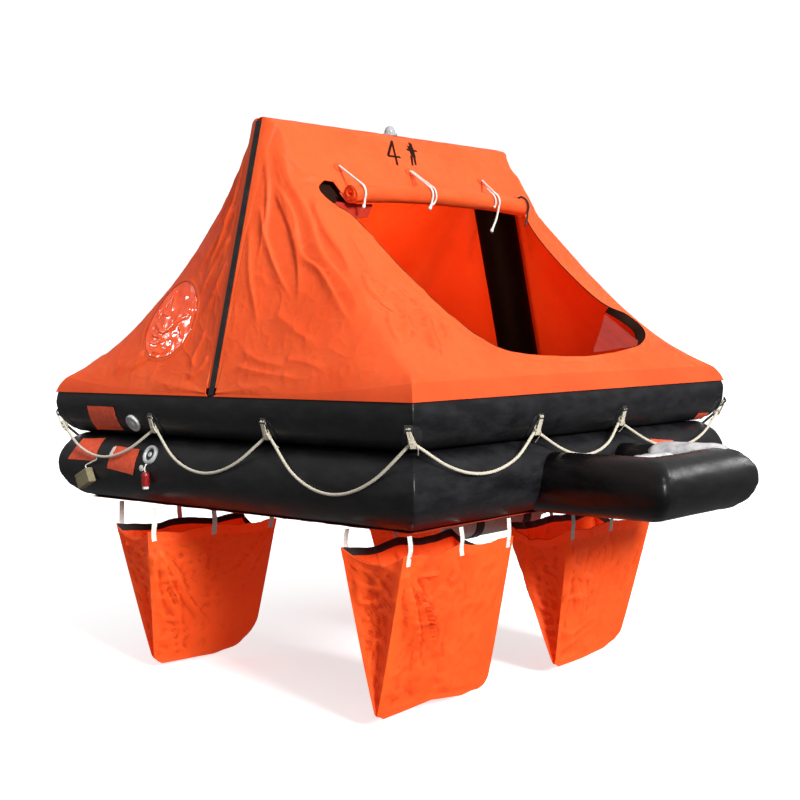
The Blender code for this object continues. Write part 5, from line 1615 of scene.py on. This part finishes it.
def stroke(a, b, width, end_width):
    """A printed line from one place on the slope to another."""
    run = np.subtract(b, a)
    way = unit(run)
    t, k = np.linspace(0, 1, 12)[:, None], np.linspace(-0.5, 0.5, 4)[None]
    w = (width + (end_width - width) * t) * k
    x, s = a[0] + run[0] * t - way[1] * w, a[1] + run[1] * t + way[0] * w
    return drape("mark", x, s, 0.0006, 0.0008, M["print_and_shade"])


# the printed figure and the figure of a person: start and end on the slope, width there
MARKS = (
    ((-0.059, 0.067), (-0.145, 0.156), 0.010, 0.010),
    ((-0.147, 0.156), (-0.080, 0.157), 0.011, 0.011),
    ((-0.061, 0.069), (-0.131, 0.204), 0.010, 0.010),
    ((0.022, 0.088), (-0.002, 0.146), 0.030, 0.020),
    ((-0.012, 0.108), (0.043, 0.110), 0.012, 0.010),
    ((-0.012, 0.142), (-0.046, 0.196), 0.012, 0.008),
    ((0.004, 0.140), (-0.026, 0.192), 0.012, 0.008),
    ((0.038, 0.066), (0.026, 0.090), 0.015, 0.017),
)


def marks():
    joined("printed_mark", [stroke(*row) for row in MARKS])


# Window in the left panel, behind the arch

WINDOW_SIDE = WINDOW_OUT.cross(Vector((0, 0, 1))).normalized()
WINDOW_UP = WINDOW_SIDE.cross(WINDOW_OUT)
# creases of the film: points are (towards the back, up) from its middle, then width and height
CREASES = (
    (((0.105, -0.004), (0.06, -0.032), (0.02, -0.047), (-0.03, -0.022), (-0.07, 0.002), (-0.118, 0.008)),
     0.006, 0.006),
    (((0.110, 0.010), (0.085, 0.055), (0.055, 0.095), (0.02, 0.125)), 0.006, 0.006),
    (((0.085, 0.030), (0.045, 0.022), (0.010, 0.012)), 0.005, 0.004),
    (((0.100, -0.050), (0.055, -0.062), (0.015, -0.060)), 0.005, 0.005),
    (((0.085, -0.082), (0.045, -0.088), (-0.005, -0.070)), 0.005, 0.004),
    (((0.045, -0.118), (-0.01, -0.122), (-0.06, -0.108)), 0.005, 0.005),
    (((0.045, 0.100), (0.020, 0.060), (0.012, 0.030)), 0.005, 0.004),
    (((-0.060, -0.020), (-0.085, -0.045), (-0.095, -0.075)), 0.006, 0.004),
)


def window_points(u, v, lift):
    """Points on the left panel at places round the window, and lift beyond it."""
    grid = []
    for a, b in zip(u.ravel(), v.ravel()):
        start = WINDOW_AT + WINDOW_SIDE * a + WINDOW_UP * b + WINDOW_OUT * 0.2
        grid.append(back_tree.ray_cast(start, -WINDOW_OUT, 0.5)[0])
    return np.array(grid).reshape(*u.shape, 3) + np.asarray(lift)[..., None] * np.array(WINDOW_OUT)


def window_layer(name, u, v, lift, thick, mat, wrap=False, sharp=60):
    """A thin closed layer over a grid of places round the window."""
    outer, inner = window_points(u, v, lift), window_points(u, v, lift - thick)
    return shell(name, outer, inner, mat, wrap, sharp)


def window():
    """The clear film, creased and slack, sewn over its hole with a narrow bound edge."""
    radius = WINDOW_R + 0.011
    u, v = (radius * places for places in disc_grid(73))
    flat = np.stack([u, v], -1).reshape(-1, 2)
    p3 = np.concatenate([flat, 0 * flat[:, :1]], axis=1)
    relief = folds(flat, CREASES) + 0.0020 * (crumple(p3, 0.06, 141) - 0.3) + 0.0035 * noise(p3, 0.10, 142)
    away = 1 - smoothstep(np.hypot(flat[:, 0], flat[:, 1]) / radius, 0.84, 0.97)
    relief = (np.maximum(relief, -0.001) * away).reshape(u.shape)
    film_piece = window_layer("window_film", u, v, relief + 0.0017, 0.0008, M["film"],
                              sharp=80)
    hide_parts("canopy_window")
    r, a = np.meshgrid(np.linspace(0.142, 0.155, 6), steps_round(96), indexing="ij")
    lift = 0.0024 - 0.0012 * smoothstep(r, 0.148, 0.155)
    ring = window_layer("window_band", r * np.cos(a), r * np.sin(a), lift, 0.0011,
                        M["canopy"],
                        wrap=True)
    line = window_points(*circle(0.1425, 120).T, np.full(120, 0.0024))
    edge = swept("window_stitch", line, circle(0.0010, 5), M["stitch_and_shade"], closed=True)
    joined("window_band", [ring, edge])


# Fittings on the tubes: valves, plug, light and its battery, towing point, gas cylinder, labels

def side_point(along, z, z_tube, sign=-1):
    """A point on a tube's skin on the left side (sign -1) or the right, and the way out there."""
    ang = math.asin((z - z_tube) / TUBE_R)
    n = Vector((sign * math.cos(ang), 0, math.sin(ang)))
    return Vector((sign * HALF, along, z_tube)) + n * TUBE_R, n


# columns: node, place along y, height, tube's height and on top, radius and height of the profile
VALVES = (
    ("relief_valve_upper", 0.435, 0.25, UPPER_Z, False,
     ((0, -0.008), (0.031, -0.008), (0.032, 0.001), (0.032, 0.005), (0.0305, 0.0078), (0.0265, 0.0085),
      (0.0255, 0.0068), (0.0130, 0.0062), (0.0125, 0.0085), (0.0105, 0.0098), (0.004, 0.0100), (0, 0.0100))),
    ("relief_valve_lower", 0.336, 0.144, LOWER_Z, True,
     ((0, -0.008), (0.033, -0.008), (0.034, 0.001), (0.034, 0.005), (0.0320, 0.0085), (0.0275, 0.0100),
      (0.0235, 0.0088), (0.0215, 0.0050), (0.0205, 0.0022), (0.0090, 0.0022), (0.0085, 0.0060),
      (0.0065, 0.0075), (0, 0.0075))),
    ("inflation_valve", 0.371, 0.098, LOWER_Z, True,
     ((0, -0.008), (0.0108, -0.008), (0.011, 0.001), (0.011, 0.0045), (0.0090, 0.0066), (0.0050, 0.0078),
      (0, 0.0080))),
)
SEAT_PROFILE = ((0, 0.0015), (0.0204, 0.0015), (0.0204, 0.0030), (0.0088, 0.0034), (0, 0.0034))
LOWER_VALVE_AT, LOWER_VALVE_R = (0.336, 0.144), 0.034
PLUG_TOP, PLUG_R, PLUG_LEN = (0.334, 0.088), 0.014, 0.058
TETHER_R, STRING_R = 0.002, 0.0022


def ribs(a, h):
    """Grip ribs round the rim of a relief valve."""
    return 1 - 0.018 * (np.cos(28 * a) > 0.2) * (0.0 < h < 0.0062)


def valves():
    """The two relief valves, the inflation valve and the red plug on its cord."""
    for node_name, along, z, z_tube, on_top, profile in VALVES:
        at, n = side_point(along, z, z_tube)
        big = profile[2][0] > 0.02
        valve = lathe(node_name + "_cap", profile, at, n, M["grey" if big else "white"],
                      steps=112 if big else 28, ripple=ribs if big else None)
        cut(valve, core(z_tube, on_top))
        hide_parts(node_name)
    at, n = side_point(*LOWER_VALVE_AT, LOWER_Z)
    lathe("valve_seat", SEAT_PROFILE, at, n, M["strip"])
    down = Vector((n.z, 0, -n.x)) * -1
    rim = at + n * 0.005 + down * (LOWER_VALVE_R + 0.0006)
    top = Vector((-(HALF + TUBE_R + PLUG_R + 0.0005), *PLUG_TOP))
    foot = top - Vector((0, 0, PLUG_LEN))
    profile = [(0, 0), (0.0085, 0.0), (0.0105, 0.002), (0.0105, 0.009), (0.0135, 0.011), (0.0140, 0.015)]
    for h in np.arange(0.020, 0.050, 0.005):
        profile += [(0.0140, h - 0.001), (0.0127, h), (0.0127, h + 0.0012), (0.0140, h + 0.0022)]
    profile += [(0.0125, 0.054), (0.006, 0.0572), (0, 0.0575)]
    plug = lathe("red_plug", profile, foot, (0, 0, 1), M["red"], steps=36,
                 ripple=lambda a, h: 1 - 0.05 * (np.cos(9 * a) > 0.55) * (0.012 < h < 0.053))
    profile = ((0, -0.0004), (0.0088, -0.0004), (0.0110, 0.0014), (0.0112, 0.0086), (0, 0.0086))
    cap = lathe("plug_end", profile, foot, (0, 0, 1), M["white"], steps=24)
    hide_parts("plug_tag")
    path = spaced((rim, rim + down * 0.008 + n * 0.002, top + Vector((-0.002, 0.001, 0.008)), top), 0.003)
    tether = laid("plug_tether", path, TETHER_R, M["cord"], pitch=0.010, sides=9)
    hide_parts("plug_cord")
    hangs(path)


def lights():
    """The dome on the ridge and the water battery that feeds it."""
    profile = ((0, -0.003), (0.0272, -0.003), (0.028, -0.001), (0.028, 0.0045), (0.0265, 0.0062),
               (0.0215, 0.0068), (0.0195, 0.0085), (0.0195, 0.0165), (0.0185, 0.0180), (0.0170, 0.0235),
               (0.0135, 0.0290), (0.0080, 0.0328), (0.0035, 0.0342), (0, 0.0344))
    dome = lathe("ridge_light", profile, (0, 0, RIDGE_Z + 0.0003), (0, 0, 1), M["lamp"],
                 steps=48)
    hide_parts("canopy_light")
    wide, long, tall = 0.03, 0.077, 0.054
    turn = Matrix.Rotation(math.radians(-25), 3, "X")
    centre = Vector((-(HALF + TUBE_R + 0.0004 + wide / 2), 0.684, 0.046))
    parts = []
    # its case and its lid, and the narrower neck between them
    for low, high, shrink, bevel in ((-0.027, 0.0125, 0.0, 0.0042), (0.0135, 0.027, 0.0, 0.0042),
                                     (-0.005, 0.020, 0.0016, 0.001)):
        at = centre + turn @ Vector((0, 0, (low + high) / 2))
        size = (wide - 2 * shrink, long - 2 * shrink, high - low)
        parts.append(rounded_box("water_battery", size, at, turn, bevel, M["tan"]))
    battery = joined("water_battery", parts)
    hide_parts("light_battery")
    up = turn @ Vector((0, 0, 1))
    top = centre + turn @ Vector((0, -0.025, tall / 2)) + up * 0.0009
    line = Vector(span_point(3, 0, 0.43)) + Vector((0, 0, -LINE_R - 0.0008))
    path = spaced((line, line + Vector((-0.001, 0.003, -0.010)), top + up * 0.012, top), TIE_STEP)
    string = laid("battery_string", path, STRING_R, M["cord"], pitch=0.011, sides=9)
    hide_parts("battery_cord")
    hangs(path)


def towing_point():
    """A rubber patch on the right side, the webbing sleeve over the ring's bar and the hanging ring."""
    along, z, bar_x = -0.20, 0.115, HALF + TUBE_R + 0.0095
    u, v = disc_grid(25)
    skins = []
    for lift in (0.0030, -0.0010):
        edge = 1 - 0.4 * np.maximum(abs(u), abs(v)) ** 12
        ang = 0.055 * v / TUBE_R
        r = TUBE_R + (lift * edge if lift > 0 else lift)
        skins.append(np.stack([HALF + r * np.cos(ang), along + 0.055 * u, LOWER_Z + r * np.sin(ang)], -1))
    patch = shell("towing_pad", skins[0], skins[1], M["strip"], sharp=60)
    out = HALF + math.sqrt(TUBE_R ** 2 - (z - LOWER_Z) ** 2)
    route = ((out + 0.0022, 0.022), (out + 0.0032, 0.009), (bar_x + 0.0012, 0.0048), (bar_x + 0.0052, 0),
             (bar_x + 0.0012, -0.0048), (out + 0.0042, -0.009), (out + 0.0046, -0.022))
    path = spaced([(x, along, z + rise) for x, rise in route], 0.0025)
    flat = [(-0.0007, -0.015), (0.0007, -0.016), (0.0007, 0.016), (-0.0007, 0.015)]
    sleeve = swept("towing_sleeve", path, flat, M["black_web"], up=(1, 0, 0.01))
    piece = joined("towing_pad", [patch, sleeve])
    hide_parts("towing_patch")
    half, drop, bend = 0.025, 0.046, 0.008
    path = []
    for cy, cz, start in ((half - bend, -bend, 90), (half - bend, -drop + bend, 0),
                          (-half + bend, -drop + bend, -90), (-half + bend, -bend, 180)):
        for t in np.radians(np.linspace(start, start - 90, 7)):
            path.append((bar_x, along + cy + bend * math.cos(t), z + cz + bend * math.sin(t)))
    ring = swept("tow_ring", path, circle(0.0025, 14), M["steel"], closed=True, up=(1, 0, 0))
    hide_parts("towing_ring")


def gas_cylinder():
    """The inflation cylinder in its two webbing bands under the floor, with its valve head."""
    x, y, r, half = -0.04, -0.49, 0.052, 0.21
    z = FLOOR_BOTTOM - 0.006 - r
    dome = [(r * math.sin(a), half + 0.6 * r * math.cos(a)) for a in map(math.radians, range(0, 91, 9))]
    body = [(q, -h) for q, h in dome]
    neck = [(0.0170, half + 0.0275), (0.0160, half + 0.029), (0.0160, half + 0.040), (0, half + 0.040)]
    profile = body + [(r * 1.004, -half * 0.2), (r * 1.004, -half * 0.18)] + [(r, h) for h in (-0.03, 0.10)]
    profile += [(q, h) for q, h in dome[::-1] if q > 0.018] + neck
    tank = lathe("inflation_cylinder", profile, (x, y, z), (1, 0, 0), M["paint"], steps=72,
                 sharp=30)
    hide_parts("gas_cylinder")
    head = ((0, -0.025), (0.0160, -0.025), (0.0175, -0.0235), (0.0175, -0.012), (0.0200, -0.010),
            (0.0200, 0.006), (0.0150, 0.0085), (0.0150, 0.0120), (0.0185, 0.0135), (0.0185, 0.0225),
            (0.0160, 0.0250), (0, 0.0250))
    at = (x + half + 0.040 + 0.0003 + 0.025, y, z)
    valve = lathe("cylinder_head", head, at, (1, 0, 0), M["brass"], steps=48,
                  ripple=lambda a, h: 1 - 0.05 * (np.cos(6 * a) > 0) * (h > 0.013))
    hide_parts("cylinder_valve")
    w, t = 0.02, 0.0013
    flat = [(-w, -t), (w, -t), (w * 1.004, 0), (w, t), (-w, t), (-w * 1.004, 0)]
    top = FLOOR_BOTTOM - 0.0003 - z
    reach = r + 0.0008 + 0.0015
    for i, place in enumerate((x - 0.13, x + 0.13), 1):
        path = [(place, y - reach, z + h) for h in np.linspace(top, 0.004, 10)]
        path += [(place, y - reach * math.cos(a), z - reach * math.sin(a))
                 for a in np.linspace(0, math.pi, 40)]
        path += [(place, y + reach, z + h) for h in np.linspace(0.004, top, 10)]
        band = swept(f"cylinder_web_{i}", path, flat, M["black_web"], up=(1, 0, 0))
        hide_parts(f"cylinder_band_{i}")


# columns: side (left 3, front 0), corners (along, height) from the upper left round, material, corners' lift
LABELS = (
    (3, ((0.681, 0.304), (0.523, 0.304), (0.523, 0.221), (0.683, 0.219)), "label", 0.003),
    (3, ((0.761, 0.179), (0.640, 0.186), (0.645, 0.108), (0.809, 0.107)), "label", 0.004),
    (3, ((0.552, 0.164), (0.403, 0.158), (0.419, 0.072), (0.570, 0.087)), "label", 0.004),
    (3, ((0.558, 0.160), (0.543, 0.160), (0.549, 0.126), (0.566, 0.126)), "white", 0.0),
    (0, ((0.735, 0.236), (0.815, 0.231), (0.812, 0.208), (0.742, 0.214)), "label", 0.003),
    (0, ((0.391, 0.161), (0.536, 0.147), (0.487, 0.132), (0.405, 0.139)), "label", 0.003),
)
LABEL_T = 0.0008


def labels():
    """Blank cloth labels glued to the tubes, a little lifted at their corners."""
    tree = skin_tree("buoyancy_tube_lower", "buoyancy_tube_upper")
    c, r = np.meshgrid(np.linspace(0, 1, 22), np.linspace(0, 1, 14))
    for number, (side, corners, mat, curl) in enumerate(LABELS, 1):
        place = between(corners, c, r)
        wave = 0.5 + 0.5 * noise(np.stack([place[..., 0], place[..., 1], 0 * r + number], -1), 0.04, 151)
        lift = 0.0016 + 0.0012 * wave + curl * wave * (abs(2 * c - 1) ** 8 * abs(2 * r - 1) ** 4)
        lift = (lift + (0.0016 if mat == "white" else 0.0))[..., None]
        hits = []
        for a, z in place.reshape(-1, 2):
            start, way = ((-1.2, a, z), (1, 0, 0)) if side == 3 else ((a, -1.2, z), (0, 1, 0))
            hits.append(tree.ray_cast(Vector(start), Vector(way))[:2])
        points, normals = np.moveaxis(np.array(hits).reshape(*c.shape, 2, 3), -2, 0)
        overlay(f"label_{number}", points, normals, lift, LABEL_T, M[mat])


door_roll()
door_ties()
doorway_edges()
marks()
window()
valves()
lights()
towing_point()
gas_cylinder()
labels()


# Camera, light and ground

WHITE = (1, 1, 1, 1)


def camera():
    """The photo's view."""
    data = bpy.data.cameras.new("camera")
    data.sensor_width = SENSOR_MM
    data.lens = FOCAL_PX / IMAGE_PX * SENSOR_MM
    obj = bpy.data.objects.new("camera", data)
    bpy.context.scene.collection.objects.link(obj)
    look = Vector((math.cos(YAW) * math.cos(PITCH), math.sin(YAW) * math.cos(PITCH), math.sin(PITCH)))
    right = Vector((math.sin(YAW), -math.cos(YAW), 0))
    up = right.cross(look)
    r = right * math.cos(ROLL) + up * math.sin(ROLL)
    u = up * math.cos(ROLL) - right * math.sin(ROLL)
    turn = Matrix((r, u, -look)).transposed()
    obj.matrix_world = Matrix.Translation(CAMERA_AT) @ turn.to_4x4()
    bpy.context.scene.camera = obj


def world():
    """Soft fill: brighter above than below, so that the lamps model the form."""
    w = bpy.data.worlds.new("studio")
    bpy.context.scene.world = w
    w.use_nodes = True
    tree = w.node_tree
    back = tree.nodes["Background"]
    place = tree.nodes.new("ShaderNodeTexCoord")
    split = tree.nodes.new("ShaderNodeSeparateXYZ")
    tree.links.new(place.outputs["Generated"], split.inputs["Vector"])
    m = given(tree.nodes.new("ShaderNodeMapRange"), From_Min=-0.35, From_Max=0.5, To_Min=0.18, To_Max=0.50)
    m.interpolation_type = "SMOOTHSTEP"
    tree.links.new(split.outputs["Z"], m.inputs["Value"])
    tree.links.new(m.outputs["Result"], back.inputs["Strength"])
    given(back, Color=WHITE)


def only_seen(name, bm, mat, z=0.0):
    """A stage piece that shows as it is, and neither lights nor shades the object."""
    mesh = bpy.data.meshes.new(name)
    bm.to_mesh(mesh)
    bm.free()
    mesh.materials.append(mat)
    obj = bpy.data.objects.new(name, mesh)
    obj.location = (0, 0, z)
    obj.visible_diffuse = False
    obj.visible_glossy = False
    obj.visible_transmission = False
    obj.visible_shadow = False
    bpy.context.scene.collection.objects.link(obj)


def backdrop():
    """A large white dome behind everything."""
    bm = bmesh.new()
    bmesh.ops.create_uvsphere(bm, u_segments=64, v_segments=32, radius=90)
    mat, _, shader = new_material("backdrop_white", 1.0, specular=0.0)
    given(shader, Base_Color=(0, 0, 0, 1), Emission_Color=WHITE, Emission_Strength=1.05)
    only_seen("backdrop", bm, mat)


def lamp(name, kind, at, target, energy, size, colour=(1, 1, 1), on=()):
    """A lamp; with on, it only shows as a reflection in those pieces."""
    data = bpy.data.lights.new(name, kind)
    data.energy = energy
    data.color = colour
    if kind == "SUN":
        data.angle = size
    else:
        data.shape = "RECTANGLE"
        data.size, data.size_y = size
    obj = bpy.data.objects.new(name, data)
    bpy.context.scene.collection.objects.link(obj)
    obj.location = at
    obj.rotation_euler = (Vector(target) - obj.location).to_track_quat("-Z", "Y").to_euler()
    if on:
        group = bpy.data.collections.new(name + "_on")
        for piece in on:
            group.objects.link(bpy.data.objects[piece])
        obj.light_linking.receiver_collection = group
        obj.visible_diffuse = False
        obj.visible_transmission = False


def ground():
    """A wide white floor below the bags."""
    bm = bmesh.new()
    bmesh.ops.create_circle(bm, cap_ends=True, radius=60, segments=96)
    mat, tree, shader = new_material("ground_white", 0.9, specular=0.0)
    textured(tree, shader, noise_node(tree, 4.0, 2.0), [(0.3, (0.90, 0.90, 0.90)), (0.7, (0.92, 0.92, 0.92))])
    given(shader, Emission_Color=WHITE, Emission_Strength=0.62)
    only_seen("ground", bm, mat, GROUND_Z)


KEY_FROM = Vector((-0.19, -0.88, 0.43)) * 6

camera()
world()
backdrop()
ground()
lamp("key_sun", "SUN", KEY_FROM, (0, 0, 0), 4.8, math.radians(16))
lamp("inside_bounce", "AREA", (-0.05, -0.25, 0.72), (-0.05, 0.6, 0.62), 7.0, (0.7, 0.5), (1.0, 0.50, 0.22))
lamp("inside_right", "AREA", (0.20, -0.30, 0.60), (0.70, 0.30, 0.72), 2.0, (0.4, 0.4), (1.0, 0.20, 0.08))
# reflections alone: streaks along the tubes and the platform, glints on the window
RUBBER = ("buoyancy_tube_upper", "buoyancy_tube_lower")
lamp("strip_right", "AREA", (4.5, 0.2, 3.0), (0.3, -0.8, 0.4), 45.0, (2.4, 0.5), on=RUBBER)
lamp("strip_platform", "AREA", (4.2, -2.6, 2.1), (0.1, -1.2, 0.1), 36.0, (2.2, 0.5), on=("boarding_tube",))
lamp("strip_back", "AREA", (0.2, 4.2, 3.4), (-0.85, 0.2, 0.4), 70.0, (2.4, 0.5), on=RUBBER)
lamp("window_glint", "AREA", (-1.8, 2.96, 1.6), tuple(WINDOW_AT), 26.0, (0.16, 0.40), on=("window_film",))
bpy.context.scene.view_settings.view_transform = "Standard"
bpy.context.scene.view_settings.look = "None"
